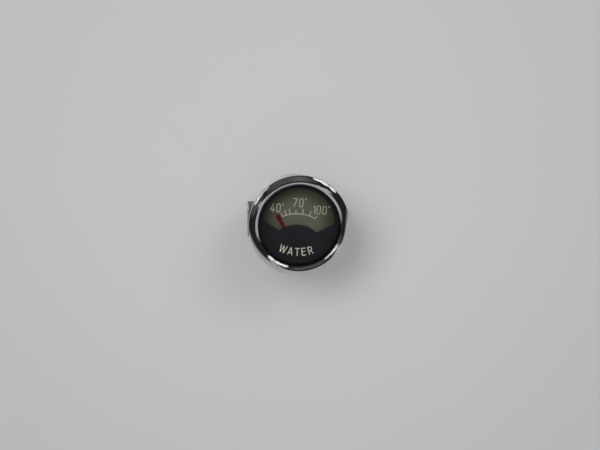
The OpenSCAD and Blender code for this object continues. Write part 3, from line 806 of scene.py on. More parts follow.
# scale plate, with painted shade darkening its colour towards its edge
SCALE = PlateWithPaintedShade("scale_plastic", "scale_plastic", linear(100, 100, 88), linear(92, 92, 80),
              (0.4, 0.52), patch=11.0, skin=0.3, skin_depth=0.0004, dust=0.03,
              dust_colour=linear(100, 98, 84), specular=0.1)
INK = Paint("cream_ink", "scale_plastic", linear(184, 183, 164), linear(174, 172, 152),
            (0.5, 0.65), patch=3.0, skin=0.15, skin_depth=0.002, dust=0.05,
            dust_colour=linear(140, 136, 122), specular=0.2)
WORD_INK = Paint("pale_ink", "dial_black", linear(214, 212, 194), linear(204, 201, 182),
                 (0.5, 0.65), patch=3.0, skin=0.15, skin_depth=0.002, dust=0.05,
                 dust_colour=linear(150, 146, 132), specular=0.2)
POINTER = Paint("pointer_red", "pointer_red", linear(94, 14, 21), linear(78, 11, 18),
                (0.5, 0.65), patch=4.0, skin=0.2, skin_depth=0.003, dust=0.04,
                dust_colour=linear(96, 56, 52), specular=0.08)
RUBBER = Paint("rubber", "rubber", linear(36, 36, 36), linear(26, 26, 26), (0.6, 0.8),
               patch=3.0, skin=0.3, skin_depth=0.01, dust=0.25,
               dust_colour=linear(96, 92, 86), specular=0.3)
WHITE = Paint("white_plastic", "white_plastic", linear(228, 227, 218), linear(214, 210, 196),
              (0.35, 0.5), patch=6.0, skin=0.4, skin_depth=0.004, dust=0.1,
              dust_colour=linear(180, 174, 158))
PHENOLIC = Paint("phenolic", "phenolic", linear(92, 56, 34), linear(66, 38, 24), (0.35, 0.55),
                 patch=1.6, skin=0.12, skin_depth=0.006, dust=0.2,
                 dust_colour=linear(136, 104, 74))
BOBBIN = Paint("bobbin_plastic", "bobbin_plastic", linear(58, 42, 34), linear(44, 32, 26),
               (0.35, 0.5), patch=2.0, skin=0.2, skin_depth=0.004, dust=0.1,
               dust_colour=linear(120, 104, 90))
CERAMIC = Paint("ceramic", "ceramic", linear(206, 190, 152), linear(186, 168, 128), (0.5, 0.7),
                patch=1.5, skin=0.12, skin_depth=0.01, dust=0.2,
                dust_colour=linear(150, 132, 100), specular=0.4)
LENS = Glass("lens_glass", "lens_glass", (0.97, 0.985, 0.98), 0.03)
BULB = Glass("bulb_glass", "bulb_glass", (0.98, 0.975, 0.95), 0.05)
WIRE = Winding("copper_wire", "copper_wire")


class Paintbox:
    """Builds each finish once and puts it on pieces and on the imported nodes."""

    def __init__(self) -> None:
        """Starts with no finish built."""
        self.made: dict[Finish, bpy.types.Material] = {}

    def material(self, finish: Finish) -> bpy.types.Material:
        """Hands over a finish's material, and builds it the first time.

        Args:
            finish: The finish.

        Returns:
            Its material.
        """
        if finish not in self.made:
            self.made[finish] = finish.make()
        return self.made[finish]

    def dress(self, name: str, piece: Piece, finish: Finish, body: str, *nodes: str) -> Piece:
        """Names and paints a new piece and lets it ride on its body.

        Args:
            name: Its name.
            piece: The new piece.
            finish: Its finish.
            body: The body that it moves with.
            nodes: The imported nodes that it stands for.

        Returns:
            The same piece.
        """
        piece.name = name
        piece.data.materials.clear()
        piece.data.materials.append(self.material(finish))
        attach(piece, body)
        if nodes:
            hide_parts(*nodes)
        log.info("%s: %d faces, %s, on %s", name, len(piece.data.polygons), finish.name, body)
        return piece

    def coat(self, finish: Finish, *nodes: str) -> None:
        """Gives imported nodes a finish.

        Args:
            finish: The finish.
            nodes: Names of the nodes.
        """
        for name in nodes:
            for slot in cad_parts[name].material_slots:
                slot.material = self.material(finish)
            log.info("%s: packed node, %s", name, finish.name)


@dataclass
class Group:
    """A sub-assembly of the gauge, with the box that its pieces are painted from."""

    box: Paintbox

    def build(self) -> None:
        """Models and dresses the group's pieces."""
        raise NotImplementedError


@dataclass
class FrontRing(Group):
    """Chromed bezel with the glass and rubber ring that it clamps to the case."""

    rim_r: float = 29.0
    roll_r: float = 27.0
    wall: float = 0.5
    edge: float = 0.15
    rim_round: float = 0.6
    rim_land: float = 3.5
    slope_bulge: float = 0.08
    crest_r: float = 25.6
    crest_front: float = 5.6
    crest_round: float = 0.9
    opening_r: float = 23.7
    lip_over: float = 0.15
    glass_front: float = -3.7
    glass_back: float = -1.9
    glass_r: float = 26.6
    glass_edge: float = 0.12
    steps: int = 256

    def profile(self) -> list[Point]:
        """Works out the section of the bezel.

        Returns:
            Its corners, from the rolled edge round the outside to the opening and back inside.
        """
        crest = Vector((self.crest_r, self.crest_round - self.crest_front))
        rim = Vector((self.rim_r, -self.rim_land))
        lip = Vector((self.opening_r, self.glass_front - self.wall - self.lip_over))
        bulge = 2 * math.degrees(math.atan(2 * self.slope_bulge / (crest - rim).length))
        outer_end = self.touch(rim, crest, 1) - bulge
        inner_end = self.touch(lip, crest, -1)
        start = arc(crest, self.crest_round, outer_end, outer_end, 1)[0]
        edge, inside = self.edge, self.rim_r - self.wall
        seat = self.opening_r + self.wall * math.tan(math.radians(-90 - inner_end) / 2)
        return [
            (self.roll_r + edge, 0.0),
            *arc((self.rim_r - self.rim_round, -self.rim_round), self.rim_round, 90, 0, 8),
            (self.rim_r, rim.y + edge),
            *bulged((self.rim_r - edge * 0.85, rim.y - edge * 0.5), start, self.slope_bulge, 16),
            *arc(crest, self.crest_round, outer_end - 3, inner_end, 24),
            *arc((self.opening_r + edge, lip.y + edge * 0.4), edge, 228, 180, 4),
            (self.opening_r, self.glass_front), (seat, self.glass_front),
            *arc(crest, self.crest_round - self.wall, inner_end, outer_end, 10),
            (inside, rim.y + self.wall / 2), (inside, -self.wall),
            (self.roll_r, -self.wall), (self.roll_r, -edge),
        ]

    def touch(self, place: Vector, crest: Vector, side: int) -> float:
        """Finds where a straight line touches the rounded crest.

        Args:
            place: Where the line starts.
            crest: Centre of the crest's rounding.
            side: 1 for the outer slope, -1 for the inner one.

        Returns:
            The angle in degrees, as seen from the centre.
        """
        way = crest - place
        lean = math.degrees(math.asin(self.crest_round / way.length))
        return math.degrees(math.atan2(way.y, way.x)) + side * (lean + 90)

    def build(self) -> None:
        """Models and dresses the bezel and the glass."""
        ring = Bench.turn(self.profile(), self.steps)
        self.box.dress("bezel_ring", ring, CHROME, "housing", "bezel")
        disc = Bench.rod(self.glass_r, self.glass_front, self.glass_back, self.steps,
                         self.glass_edge)
        self.box.dress("glass_disc", disc, LENS, "housing", "lens")
        disc.visible_shadow = disc.visible_diffuse = False
        self.box.coat(RUBBER, "lens_gasket")


@dataclass(frozen=True)
class Glyph:
    """One printed sign, drawn in a box of height 1 with its foot at 0."""

    wide: float
    lines: tuple[tuple[Point, ...], ...]
    oval: bool = False

    def paths(self, size: float, centre: Point, lean: float = 0.0) -> list[Path]:
        """Places the sign on the dial.

        Args:
            size: Height of the sign.
            centre: Its centre as (x, z).
            lean: Angle in degrees by which its top leans to the right.

        Returns:
            Its strokes, each with whether it closes on itself.
        """
        shapes: list[Path] = [(line, False) for line in self.lines]
        if self.oval:
            half = self.wide / 2
            shapes.append((arc((half, 1 - half), half, 0, 180, 12)
                           + arc((half, half), half, 180, 360, 12), True))
        side, up = math.sin(math.radians(lean)), math.cos(math.radians(lean))
        placed = []
        for line, ring in shapes:
            spots = [((x - self.wide / 2) * size, (z - 0.5) * size) for x, z in line]
            placed.append(([(centre[0] + x * up + z * side, centre[1] - x * side + z * up)
                            for x, z in spots], ring))
        return placed


SIGNS = {
    "0": Glyph(0.42, (), True),
    "1": Glyph(0.2, (((0.17, 0), (0.17, 1)), ((0, 0.8), (0.17, 0.98)))),
    "4": Glyph(0.54, (((0.38, 1), (0, 0.27)), ((-0.02, 0.27), (0.54, 0.27)),
                      ((0.38, 0.58), (0.38, 0)))),
    "7": Glyph(0.5, (((0, 0.95), (0.5, 0.95)), ((0.48, 0.97), (0.12, 0)))),
    "A": Glyph(0.66, (((0.04, 0), (0.33, 1)), ((0.33, 1), (0.62, 0)), ((0.13, 0.3), (0.53, 0.3)))),
    "E": Glyph(0.52, (((0.04, 0), (0.04, 1)), ((0, 0.95), (0.52, 0.95)), ((0, 0.52), (0.46, 0.52)),
                      ((0, 0.05), (0.52, 0.05)))),
    "R": Glyph(0.56, (((0.05, 0), (0.05, 1)), ((0.3, 0.46), (0.56, 0)),
                      ((0.03, 0.95), (0.3, 0.95), (0.41, 0.91), (0.48, 0.82), (0.5, 0.71),
                       (0.48, 0.6), (0.41, 0.51), (0.3, 0.47), (0.03, 0.47)))),
    "T": Glyph(0.6, (((0.3, 0), (0.3, 0.97)), ((0, 0.95), (0.6, 0.95)))),
    "W": Glyph(0.86, (((0.02, 1), (0.22, 0)), ((0.22, 0), (0.43, 0.92)), ((0.43, 0.92), (0.64, 0)),
                      ((0.64, 0), (0.84, 1)))),
}


@dataclass
class Dial(Group):
    """Shade ring, front plate, scale plate and all that is printed on them."""

    scale_face: float = 5.4
    mask_face: float = 3.4
    arc_r: float = 22.0
    arc_steps: int = 40
    line_w: float = 0.46
    tick_w: float = 0.5
    tick_in: float = 0.1
    sign_w: float = 0.5
    sign_h: float = 4.75
    ticks: tuple[Point, ...] = (
        (-25.3, 2.3), (-19.3, 3.2), (-13.4, 3.3), (-4.6, 1.95), (5.5, 3.1), (16.2, 2.9),
        (26.1, 2.0))
    numbers: tuple[tuple[str, Point], ...] = (
        ("4", (-15.45, 8.3)), ("0", (-12.05, 8.4)), ("7", (-2.55, 12.2)), ("0", (0.95, 12.2)),
        ("1", (8.75, 8.6)), ("0", (11.3, 8.6)), ("0", (14.75, 8.6)))
    degree_rings: tuple[Point, ...] = ((-9.6, 10.5), (3.4, 14.4), (17.3, 10.7))
    ring_r: float = 0.42
    ring_w: float = 0.28
    word: str = "WATER"
    word_x: tuple[float, ...] = (-7.9, -3.5, 0.5, 4.2, 8.0)
    word_foot: float = -16.45
    word_bend: float = 24.0
    letter_h: float = 4.6
    letter_w: float = 0.52

    def on_scale(self, angle: float, radius: float) -> Point:
        """Place at a clockwise angle from the upright in degrees, and a radius from the pivot."""
        turn = math.radians(angle)
        return radius * math.sin(turn), PIVOT_Z + radius * math.cos(turn)

    def build(self) -> None:
        """Dresses the plates and prints the scale, the numbers and the word."""
        self.box.coat(SHADE_BLACK, "shade_ring", "spacer_ring")
        self.box.coat(DIAL_BLACK, "dial_mask")
        self.box.coat(SCALE, "scale_plate")
        first, last = self.ticks[0][0], self.ticks[-1][0]
        bow = [self.on_scale(first + (last - first) * i / self.arc_steps, self.arc_r)
               for i in range(self.arc_steps + 1)]
        ticks = [([self.on_scale(angle, self.arc_r - self.tick_in),
                   self.on_scale(angle, self.arc_r + length)], False)
                 for angle, length in self.ticks]
        numbers = [path for sign, at in self.numbers
                   for path in SIGNS[sign].paths(self.sign_h, at)]
        rings = [(arc(at, self.ring_r, 0, 345, 23), True) for at in self.degree_rings]
        for name, paths, width in (("scale_arc", [(bow, False)], self.line_w),
                                   ("scale_ticks", ticks, self.tick_w),
                                   ("scale_numbers", numbers, self.sign_w),
                                   ("degree_rings", rings, self.ring_w)):
            self.box.dress(name, Bench.strokes(paths, width, self.scale_face), INK, "housing")
        word = Bench.strokes(self.word_paths(), self.letter_w, self.mask_face)
        self.box.dress("dial_word", word, WORD_INK, "housing")

    def word_paths(self) -> list[Path]:
        """Places the word's letters along a line that is hollow upwards.

        Returns:
            Their strokes.
        """
        paths = []
        for letter, x in zip(self.word, self.word_x):
            lean = -math.degrees(math.asin(x / self.word_bend))
            rise = self.word_bend * (1 - math.cos(math.radians(lean)))
            paths += SIGNS[letter].paths(self.letter_h, (x, self.word_foot + rise), lean)
        return paths


@dataclass
class Needle(Group):
    """Red pointer with its boss, and the pieces that turn with it."""

    front: float = 4.15
    thick: float = 0.4
    width: float = 2.0
    reach: float = 24.4
    tail: float = 6.6
    boss_r: float = 2.5
    boss_over: float = 0.01
    edge: float = 0.12
    rest: float = 31.0

    def build(self) -> None:
        """Models the pointer and dresses what turns behind it."""
        half, back = self.width / 2, self.front + self.thick
        blade = Bench.prism([(-half, -self.tail), (half, -self.tail), (half, self.reach),
                             (-half, self.reach)], self.front, back)
        Bench.soften(blade, self.edge, 3)
        boss = Bench.rod(self.boss_r, self.front - self.boss_over, back, edge=self.edge)
        piece = Bench.join(blade, boss)
        turn = Matrix.Rotation(math.radians(-self.rest), 4, "Y")
        piece.data.transform(Matrix.Translation((0, 0, PIVOT_Z * MM)) @ turn)
        self.box.dress("pointer_blade", Bench.close_up(piece), POINTER, "pointer", "pointer")
        self.box.coat(BRASS, "pointer_hub", "counterweight", "spring_collet")
        self.box.coat(BRIGHT, "pointer_spindle")
        self.box.coat(IRON, "armature")


@dataclass
class Movement(Group):
    """The moving-iron movement inside the case."""

    def build(self) -> None:
        """Dresses the movement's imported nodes."""
        self.box.coat(BRASS, "hairspring_post", "front_bridge", "bridge_pillars", "stud_sleeves")
        self.box.coat(BRONZE, "hairspring")
        self.box.coat(BRIGHT, "bridge_screws", "stop_pins")
        self.box.coat(ZINC, "movement_plate")
        self.box.coat(IRON, "left_pole_piece", "right_pole_piece")
        self.box.coat(BOBBIN, "coil_bobbins")
        self.box.coat(WIRE, "coil_windings")
        self.box.coat(CERAMIC, "calibration_resistor")


@dataclass
class Housing(Group):
    """Drawn steel case with its sleeve, studs, washers and nuts."""

    stud_r: float = 2.0
    head_front: float = 17.75
    plate_front: float = 19.35
    plain: float = 2.0
    stud_end: float = 50.0
    washer_t: float = 0.8
    washer_r: float = 4.3
    edge: float = 0.15
    nut_turns: Point = (8.0, 41.0)

    def build(self) -> None:
        """Dresses the case and models what is screwed to it."""
        self.box.coat(CASE_ZINC, "case")
        self.box.coat(WHITE, "light_sleeve")
        spots = [on_stud(side) for side in (-1, 1)]
        studs = Bench.bolts(spots, self.stud_r, (self.head_front, self.plate_front, self.stud_end),
                            self.plain)
        self.box.dress("threaded_studs", studs, STUD_ZINC, "housing", "mounting_studs")
        bore, out, edge = self.stud_r + self.edge, self.washer_r, self.edge
        seat = CASE_BACK + self.washer_t
        washer = Bench.turn([
            (bore, CASE_BACK), (out - edge, CASE_BACK), (out, CASE_BACK + 0.2), (out, seat - edge),
            (out - edge, seat), (bore, seat)])
        self.box.dress("plain_washers", Bench.place(washer, *spots), ZINC, "housing",
                       "stud_washers")
        nuts = Bench.nuts(dict(zip(spots, self.nut_turns)), self.stud_r, seat)
        self.box.dress("hexagon_nuts", nuts, ZINC, "housing", "stud_nuts")


@dataclass
class Clamp(Group):
    """U bracket with its spring washers and knurled nuts."""

    leg_in: float = 28.3
    thick: float = 1.0
    wide: float = 16.4
    leg_front: float = 5.0
    bridge_in: float = 38.0
    bend_r: float = 2.0
    leg_round: float = 2.5
    hole_r: float = 2.3
    washer_r: float = 3.8
    washer_t: float = 0.8
    washer_edge: float = 0.1
    washer_gap: tuple[Point, ...] = ((-0.1, 1.5), (0.5, 1.5), (1.0, 5.0), (0.4, 5.0))
    knurl_r: float = 5.5
    knurl_h: float = 8.0
    collar_r: float = 4.2
    collar_h: float = 1.6
    ridges: int = 30
    ridge_depth: float = 0.35
    ridge_sharp: float = 0.8
    facets: int = 8
    bore_r: float = 2.06
    bore_sink: float = 0.4
    nut_seat: float = 39.9

    def strap(self) -> Piece:
        """Bends the bracket from a strip, rounds the ends of its legs and drills it.

        Returns:
            The bracket.
        """
        out, rear = self.leg_in + self.thick, self.bridge_in + self.thick
        bend = self.bend_r + self.thick
        right = arc((out - bend, rear - bend), bend, 0, 90, 10)
        left = [(-x, y) for x, y in reversed(right)]
        path = [(out, self.leg_front), *right, *left, (-out, self.leg_front)]
        piece = Bench.outline([(x, y, -self.wide / 2) for x, y in path], False)
        Bench.edit(piece)
        bpy.ops.mesh.extrude_region_move(TRANSFORM_OT_translate={"value": (0, 0, self.wide * MM)})
        bpy.ops.mesh.select_all(action="SELECT")
        bpy.ops.mesh.normals_make_consistent(inside=False)
        Bench.only(piece)
        middle = next(f for f in piece.data.polygons if abs(f.center.x) < MM)
        Bench.apply(piece, "SOLIDIFY", thickness=self.thick * MM, use_even_offset=True,
                    offset=-1.0 if middle.normal.y > 0 else 1.0)
        Bench.close_up(piece)
        Bench.pick_edges(piece, lambda at, way: at.y < self.leg_front + 0.01 and abs(way.x) > 0.9)
        bpy.ops.mesh.bevel(offset=self.leg_round * MM, segments=10, affect="EDGES")
        drill = Bench.rod(self.hole_r, self.bridge_in - OVERCUT, rear + OVERCUT)
        Bench.carve(piece, Bench.place(drill, (-STUD_OUT, 0), (STUD_OUT, 0)))
        Bench.close_up(piece)
        Bench.soften(piece, 0.12)
        piece.data.transform(Matrix.Rotation(math.radians(-STUDS_LEAN), 4, "Y"))
        return Bench.close_up(piece)

    def knurled(self) -> Piece:
        """Turns a knurled nut: ridged grip, plain collar towards the bracket, countersunk bore.

        Returns:
            The nut, on the gauge's axis.
        """
        near, far = self.nut_seat, self.nut_seat + self.knurl_h
        grip = near + self.collar_h
        crest, core, bore, sink = self.knurl_r, self.collar_r, self.bore_r, self.bore_sink
        nut = Bench.turn([
            (bore, near + sink), (bore + sink, near), (core - 0.3, near), (core, near + 0.3),
            (core, grip), (crest - 0.6, grip), (crest, grip + 0.45), (crest, grip + 1.5),
            (crest, far - 2.6), (crest, far - 1.3), (crest - 0.55, far - 0.8), (core, far - 0.8),
            (core, far - 0.25), (core - 0.25, far), (bore + sink, far), (bore, far - sink)],
            self.ridges * self.facets)
        for vertex in nut.data.vertices:
            x, _, z = vertex.co / MM
            if math.hypot(x, z) > crest - 0.05:
                wave = abs(math.sin(self.ridges / 2 * math.atan2(z, x))) ** self.ridge_sharp
                ratio = 1 - self.ridge_depth * (1 - wave) / crest
                vertex.co = vertex.co * Vector((ratio, 1, ratio))
        return Bench.close_up(nut, KNURL_SHARP_DEG)

    def spring_washer(self) -> Piece:
        """Turns a spring washer, pressed almost flat, and splits it.

        Returns:
            The washer, on the gauge's axis.
        """
        front, edge = self.bridge_in + self.thick, self.washer_edge
        back = front + self.washer_t
        hole, out = self.hole_r, self.washer_r
        piece = Bench.turn([
            (hole + edge, front), (out - edge, front), (out, front + edge), (out, back - edge),
            (out - edge, back), (hole + edge, back), (hole, back - edge), (hole, front + edge)])
        Bench.carve(piece, Bench.prism(self.washer_gap, front - 1, back + 1))
        return Bench.close_up(piece)

    def build(self) -> None:
        """Models the bracket, its washers and its nuts."""
        self.box.dress("bracket_strap", self.strap(), STRAP_ZINC, "bracket", "clamp_bracket")
        springs = Bench.place(self.spring_washer(), on_stud(-1), on_stud(1))
        self.box.dress("spring_washers", springs, BRIGHT, "bracket", "bracket_washers")
        nut = self.knurled()
        for side, name in ((-1, "left"), (1, "right")):
            self.box.dress(name + "_knurled_grip", Bench.twin(nut, on_stud(side)), KNURL_BRASS,
                           name + "_nut", name + "_knurled_nut")
        bpy.data.objects.remove(nut)


@dataclass
class Lamp(Group):
    """Push-in lamp holder with its blade contact and bulb."""

    axis: Point = (0.0, 15.8)
    in_front: float = 24.5
    push_r: float = 6.0
    flange_r: float = 7.0
    flange_t: float = 0.8
    flange_round: float = 0.3
    root_round: float = 0.25
    body_r: float = 5.1
    rear: float = 37.3
    wall: float = 0.5
    edge: float = 0.12
    blade_w: float = 4.8
    blade_t: float = 0.8
    blade_end: float = 44.3
    blade_corner: float = 0.7
    hole_r: float = 0.8
    hole_in: float = 2.4
    insulator_t: float = 1.6
    pad_edge: float = 0.1
    gap: float = 0.02

    def build(self) -> None:
        """Models the holder, its insulator and its blade, and dresses the bulb."""
        shell = Bench.turn(self.shell_profile(), 96)
        disc = Bench.rod(self.body_r - self.wall - self.gap, self.rear - self.insulator_t,
                         self.rear, 64, self.pad_edge)
        Bench.carve(disc, Bench.prism(self.blade_outline(self.gap), self.rear - OVERCUT,
                                      self.rear + OVERCUT))
        for name, piece, finish, node in (
                ("lamp_shell", shell, ZINC, "lamp_holder"),
                ("lamp_disc", Bench.close_up(disc), PHENOLIC, "lamp_insulator"),
                ("lamp_blade", self.blade(), BRASS, "lamp_contact")):
            self.box.dress(name, Bench.place(piece, self.axis), finish, "lamp", node)
        self.box.coat(BRIGHT, "bulb_cap")
        self.box.coat(BULB, "bulb_glass")
        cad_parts["bulb_glass"].visible_shadow = False

    def shell_profile(self) -> list[Point]:
        """Works out the section of the holder.

        Returns:
            Its corners, from its front end along the outside to its rear and back inside.
        """
        seat = CASE_BACK + self.flange_t
        push, flange, body, edge = self.push_r, self.flange_r, self.body_r, self.edge
        rim, root, inside = self.flange_round, self.root_round, seat - self.wall
        return [
            (push - self.wall, self.in_front), (push - edge, self.in_front),
            (push, self.in_front + edge), (push, CASE_BACK), (flange - edge, CASE_BACK),
            (flange, CASE_BACK + edge), (flange, seat - rim),
            *arc((flange - rim, seat - rim), rim, 0, 90, 4), (body + root, seat),
            *arc((body + root, seat + root), root, 270, 180, 4), (body, self.rear - 0.7),
            (body - 0.2, self.rear), (body - self.wall, self.rear), (body - self.wall, inside),
            (push - self.wall, inside)]

    def blade_outline(self, gap: float) -> list[Point]:
        """Section of the blade in X and Z, widened by a gap."""
        half, thin = self.blade_w / 2 + gap, self.blade_t / 2 + gap
        return [(-half, -thin), (half, -thin), (half, thin), (-half, thin)]

    def blade(self) -> Piece:
        """Stamps the blade contact: chamfered tip, hole, and the pad that the bulb presses on.

        Returns:
            The blade, on the gauge's axis.
        """
        root, tip = self.rear - self.insulator_t, self.blade_end
        blade = Bench.prism(self.blade_outline(0), root, tip)
        Bench.pick_edges(blade, lambda at, way: at.y > tip - 0.01 and abs(way.z) > 0.9)
        bpy.ops.mesh.bevel(offset=self.blade_corner * MM, segments=1, affect="EDGES")
        Bench.only()
        bpy.ops.mesh.primitive_cylinder_add(vertices=32, radius=self.hole_r * MM, depth=4 * MM,
                                            location=(0, (tip - self.hole_in) * MM, 0))
        Bench.carve(blade, bpy.context.object)
        Bench.close_up(blade)
        Bench.soften(blade, 0.08)
        pad = Bench.rod(self.blade_w / 2, root - self.blade_t, root, edge=self.pad_edge)
        return Bench.close_up(Bench.join(blade, pad))


@dataclass
class Terminals(Group):
    """Two threaded brass terminals with insulating bushes, washers and nuts."""

    spots: tuple[Point, Point] = ((-8.0, -15.5), (8.0, -15.5))
    radius: float = 2.0
    plain: float = 0.5
    wall: float = 0.6
    bush_r: float = 4.3
    bush_edge: float = 0.25
    neck_r: float = 3.0
    bush_t: float = 1.2
    washer_r: float = 3.9
    washer_t: float = 0.8
    washer_edge: float = 0.15
    head_t: float = 1.5
    end: float = 43.0
    nut_turns: Point = (22.0, 3.0)

    def build(self) -> None:
        """Models both terminals."""
        neck, bush_back = CASE_BACK - self.wall, CASE_BACK + self.bush_t
        inner, seat = neck - self.bush_t, bush_back + self.washer_t
        studs = Bench.bolts(self.spots, self.radius, (inner - self.head_t, inner, self.end),
                            self.plain)
        self.box.dress("terminal_threads", studs, BRASS, "housing", "terminal_studs")
        bore, out, edge = self.radius + 0.02, self.bush_r, self.bush_edge
        bush = Bench.turn([
            (bore, neck), (self.neck_r, neck), (self.neck_r, CASE_BACK), (out, CASE_BACK),
            (out, bush_back - edge), (out - edge, bush_back), (bore, bush_back)])
        self.box.dress("terminal_insulators", Bench.place(bush, *self.spots), PHENOLIC, "housing",
                       "terminal_bushes")
        bore, out, edge = self.radius + 0.15, self.washer_r, self.washer_edge
        washer = Bench.turn([(bore, bush_back), (out, bush_back), (out, seat - edge),
                             (out - edge, seat), (bore, seat)])
        self.box.dress("terminal_rounds", Bench.place(washer, *self.spots), BRASS, "housing",
                       "terminal_washers")
        nuts = Bench.nuts(dict(zip(self.spots, self.nut_turns)), self.radius, seat)
        self.box.dress("terminal_hexagons", nuts, BRASS, "housing", "terminal_nuts")
        self.box.coat(PHENOLIC, "terminal_inner_washers")


@dataclass
class Studio:
    """Pale table, lamps, surroundings and camera.

    A glow is a round patch of the surroundings that the chrome mirrors: the clock angle and the
    angle off the camera at which it lies, its reach and its soft edge in degrees, and its light.
    """

    view_side: float = -5.5
    view_up: float = 10.0
    roll: float = 4.3
    lens: float = 50.0
    sensor: float = 36.0
    frame_w: float = 344.0
    frame_px: int = 600
    shift_px: Point = (1.1, -0.1)
    table_gap: float = 50.9
    table_r: float = 450.0
    table_solid_r: float = 300.0
    table_colour: Colour = (0.605, 0.61, 0.615)
    # painted fall-off of light on the table: darker from the first distance to the second from the
    # gauge, down to the given share
    table_painted_falloff: tuple[float, float, float] = (80.0, 220.0, 0.9)
    backdrop: Colour = (0.575, 0.58, 0.585)
    ambient: Colour = (0.48, 0.48, 0.4848)
    room_dark: Colour = (0.0225, 0.0165, 0.0185)
    room_light: float = 0.44
    horizon: Point = (70.0, 79.0)
    open_side: tuple[float, float, float, float] = (174.0, 140.0, 97.0, 87.0)
    glows: tuple[tuple[float, float, float, float, float], ...] = (
        (345.0, 47.0, 14.0, 16.0, 0.07), (290.0, 60.0, 4.0, 2.5, 0.75),
        (300.0, 60.0, 4.5, 2.5, 0.8), (312.0, 60.0, 4.5, 2.5, 0.7), (281.0, 40.0, 3.5, 2.0, 1.6),
        (33.0, 64.0, 4.5, 2.0, 1.1), (44.0, 66.0, 5.0, 2.0, 1.1), (56.0, 70.0, 4.5, 2.0, 1.1),
        (70.0, 38.0, 3.5, 2.0, 2.4), (62.0, 47.0, 3.0, 2.0, 2.0), (138.0, 46.0, 3.5, 2.0, 2.4),
        (135.0, 54.0, 3.0, 2.0, 2.0), (185.0, 42.0, 3.5, 2.0, 2.4), (190.0, 50.0, 3.0, 2.0, 2.0),
        (18.0, 46.0, 6.0, 10.0, 0.07), (284.0, 58.0, 9.0, 9.0, 0.06))
    lamp_far: float = 1.6
    lamps: tuple[tuple[str, Colour, float, float], ...] = (
        ("lamp_left", (-0.45, -0.81, 0.38), 0.8, 9.8),
        ("lamp_right", (0.385, -0.707, 0.593), 0.8, 4.6),
        ("lamp_rear_left", (-0.5, 0.8, 0.35), 0.9, 7.0),
        ("lamp_rear_right", (0.6, 0.75, 0.3), 0.9, 7.0))

    def toward_camera(self) -> Vector:
        """Works out the direction from the gauge to the camera.

        Returns:
            The direction.
        """
        side, up = math.radians(self.view_side), math.radians(self.view_up)
        level = math.cos(up)
        return Vector((math.sin(side) * level, -math.cos(side) * level, math.sin(up)))

    def facing(self) -> Matrix:
        """Turn of the camera, with its roll."""
        level = self.toward_camera().to_track_quat("Z", "Y").to_matrix()
        return level @ Matrix.Rotation(math.radians(self.roll), 3, "Z")

    def toward(self, clock: float, off: float) -> Vector:
        """Works out a direction as seen in the picture.

        Args:
            clock: Angle in degrees, clockwise from the picture's top.
            off: Angle in degrees off the camera's direction.

        Returns:
            The direction.
        """
        side, away = math.radians(clock), math.radians(off)
        return self.facing() @ Vector((math.sin(side) * math.sin(away),
                                       math.cos(side) * math.sin(away), math.cos(away)))

    def build(self) -> None:
        """Sets up the camera, the table, the lamps and the world."""
        self.set_camera()
        self.lay_table()
        for name, way, size, power in self.lamps:
            self.hang_lamp(name, Vector(way).normalized() * self.lamp_far, size, power)
        self.paint_world()
        bpy.context.scene.view_settings.view_transform = "Standard"

    def set_camera(self) -> None:
        """Places the camera at the photographed angle, with its roll and framing."""
        distance = self.frame_w / self.sensor * self.lens * MM
        aim = Vector((*self.shift_px, 0)) * self.frame_w / self.frame_px * MM
        aim.z = distance
        turn = self.facing()
        data = bpy.data.cameras.new("camera")
        data.lens, data.sensor_width, data.clip_start = self.lens, self.sensor, 0.01
        camera = bpy.data.objects.new("camera", data)
        camera.matrix_world = Matrix.Translation(turn @ aim) @ turn.to_4x4()
        bpy.context.scene.collection.objects.link(camera)
        bpy.context.scene.camera = camera

    def lay_table(self) -> None:
        """Lays the table square to the camera, just behind the ends of the studs, with a painted
        fall-off of light far from the gauge.
        """
        way = self.toward_camera()
        Bench.only()
        bpy.ops.mesh.primitive_circle_add(vertices=96, radius=self.table_r * MM, fill_type="NGON")
        table = bpy.context.object
        table.name = "table"
        table.data.transform(Matrix.Translation(-way * self.table_gap * MM)
                             @ way.to_track_quat("Z", "Y").to_matrix().to_4x4())
        graph = Graph(bpy.data.materials.new("table_top"))
        near, away, dim = self.table_painted_falloff
        cloudy, falloff_shaded_colour = (tuple(c * share for c in self.table_colour) for share in (0.985, dim))
        tone = graph.mix(graph.ramp(graph.noise(60, 3), 0.3, 0.7), self.table_colour, cloudy)
        # painted fall-off of light: the table darkens to the given share between the two distances
        # round the gauge
        far = graph.vector("LENGTH", graph.place)
        tone = graph.mix(graph.ramp(far, near * MM, away * MM), tone, falloff_shaded_colour)
        top = graph.add("BsdfPrincipled", {"Base Color": tone, "Roughness": 0.75,
                                           "Specular IOR Level": 0.2})
        fade = graph.ramp(far, self.table_solid_r * MM, self.table_r * MM)
        hidden = graph.math("MAXIMUM", fade, graph.add("NewGeometry").outputs["Backfacing"])
        clear = graph.add("BsdfTransparent")
        table.data.materials.append(graph.close(graph.add(
            "MixShader", {0: hidden, 1: top.outputs[0], 2: clear.outputs[0]})))
        table.visible_shadow = False

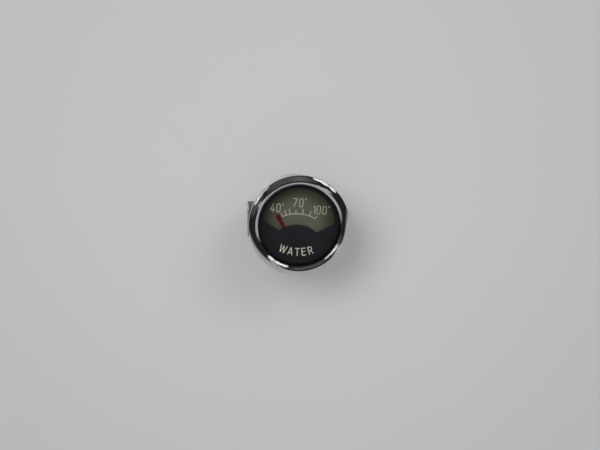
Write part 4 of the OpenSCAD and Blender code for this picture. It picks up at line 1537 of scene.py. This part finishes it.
    def hang_lamp(self, name: str, place: Vector, size: float, power: float) -> None:
        """Hangs a square area lamp that shines at the gauge.

        Args:
            name: Name of the lamp.
            place: Where it hangs, in metres.
            size: Its side in metres.
            power: Its power in watts.
        """
        data = bpy.data.lights.new(name, "AREA")
        data.size, data.energy = size, power
        lamp = bpy.data.objects.new(name, data)
        lamp.location = place
        lamp.rotation_euler = place.to_track_quat("Z", "Y").to_euler()
        lamp.visible_camera = False
        lamp.visible_glossy = place.y > 0
        bpy.context.scene.collection.objects.link(lamp)

    def paint_world(self) -> None:
        """Makes the surroundings pale to the camera, plain to matt paint and a room to gloss."""
        world = bpy.data.worlds.new("room")
        bpy.context.scene.world = world
        graph = Graph(world, "Generated")
        light = graph.math("MULTIPLY", self.patch(graph, 0, 0, *self.horizon),
                           self.patch(graph, *self.open_side))
        light = graph.math("MULTIPLY", light, self.room_light)
        for clock, off, reach, soft, power in self.glows:
            glow = self.patch(graph, clock, off, reach + soft, reach)
            light = graph.math("MULTIPLY_ADD", glow, power, light)
        room = graph.mix(light, self.room_dark, (1, 1, 1), limit=False)
        ray = graph.add("LightPath").outputs
        gloss = graph.mix(ray["Is Glossy Ray"], self.ambient, room)
        passed = graph.mix(ray["Glossy Depth"], self.backdrop, room)
        clear = graph.mix(ray["Is Transmission Ray"], gloss, passed)
        seen = graph.mix(ray["Is Camera Ray"], clear, self.backdrop)
        graph.close(graph.add("Background", {0: seen}), "OutputWorld")

    def patch(self, graph: Graph, clock: float, off: float, none: float, full: float) -> Socket:
        """Finds how far a direction lies in a round patch of the surroundings.

        Args:
            graph: The world's nodes.
            clock: Clock angle of the patch's middle in degrees.
            off: Angle of the middle off the camera.
            none: Angle from the middle where the patch has ended.
            full: Angle from the middle up to which it is full.

        Returns:
            A share from 0 to 1.
        """
        inside = graph.vector("DOT_PRODUCT", graph.place, self.toward(clock, off))
        return graph.ramp(inside, *(math.cos(math.radians(angle)) for angle in (none, full)))


def main() -> None:
    """Builds the gauge's groups in order, then the studio round it."""
    logging.basicConfig(level=logging.INFO, format="%(message)s")
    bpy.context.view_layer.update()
    box = Paintbox()
    for group in (FrontRing(box), Dial(box), Needle(box), Movement(box), Housing(box), Clamp(box),
                  Lamp(box), Terminals(box)):
        log.info("building %s", type(group).__name__)
        group.build()
    Studio().build()


if __name__ == "__main__":
    main()
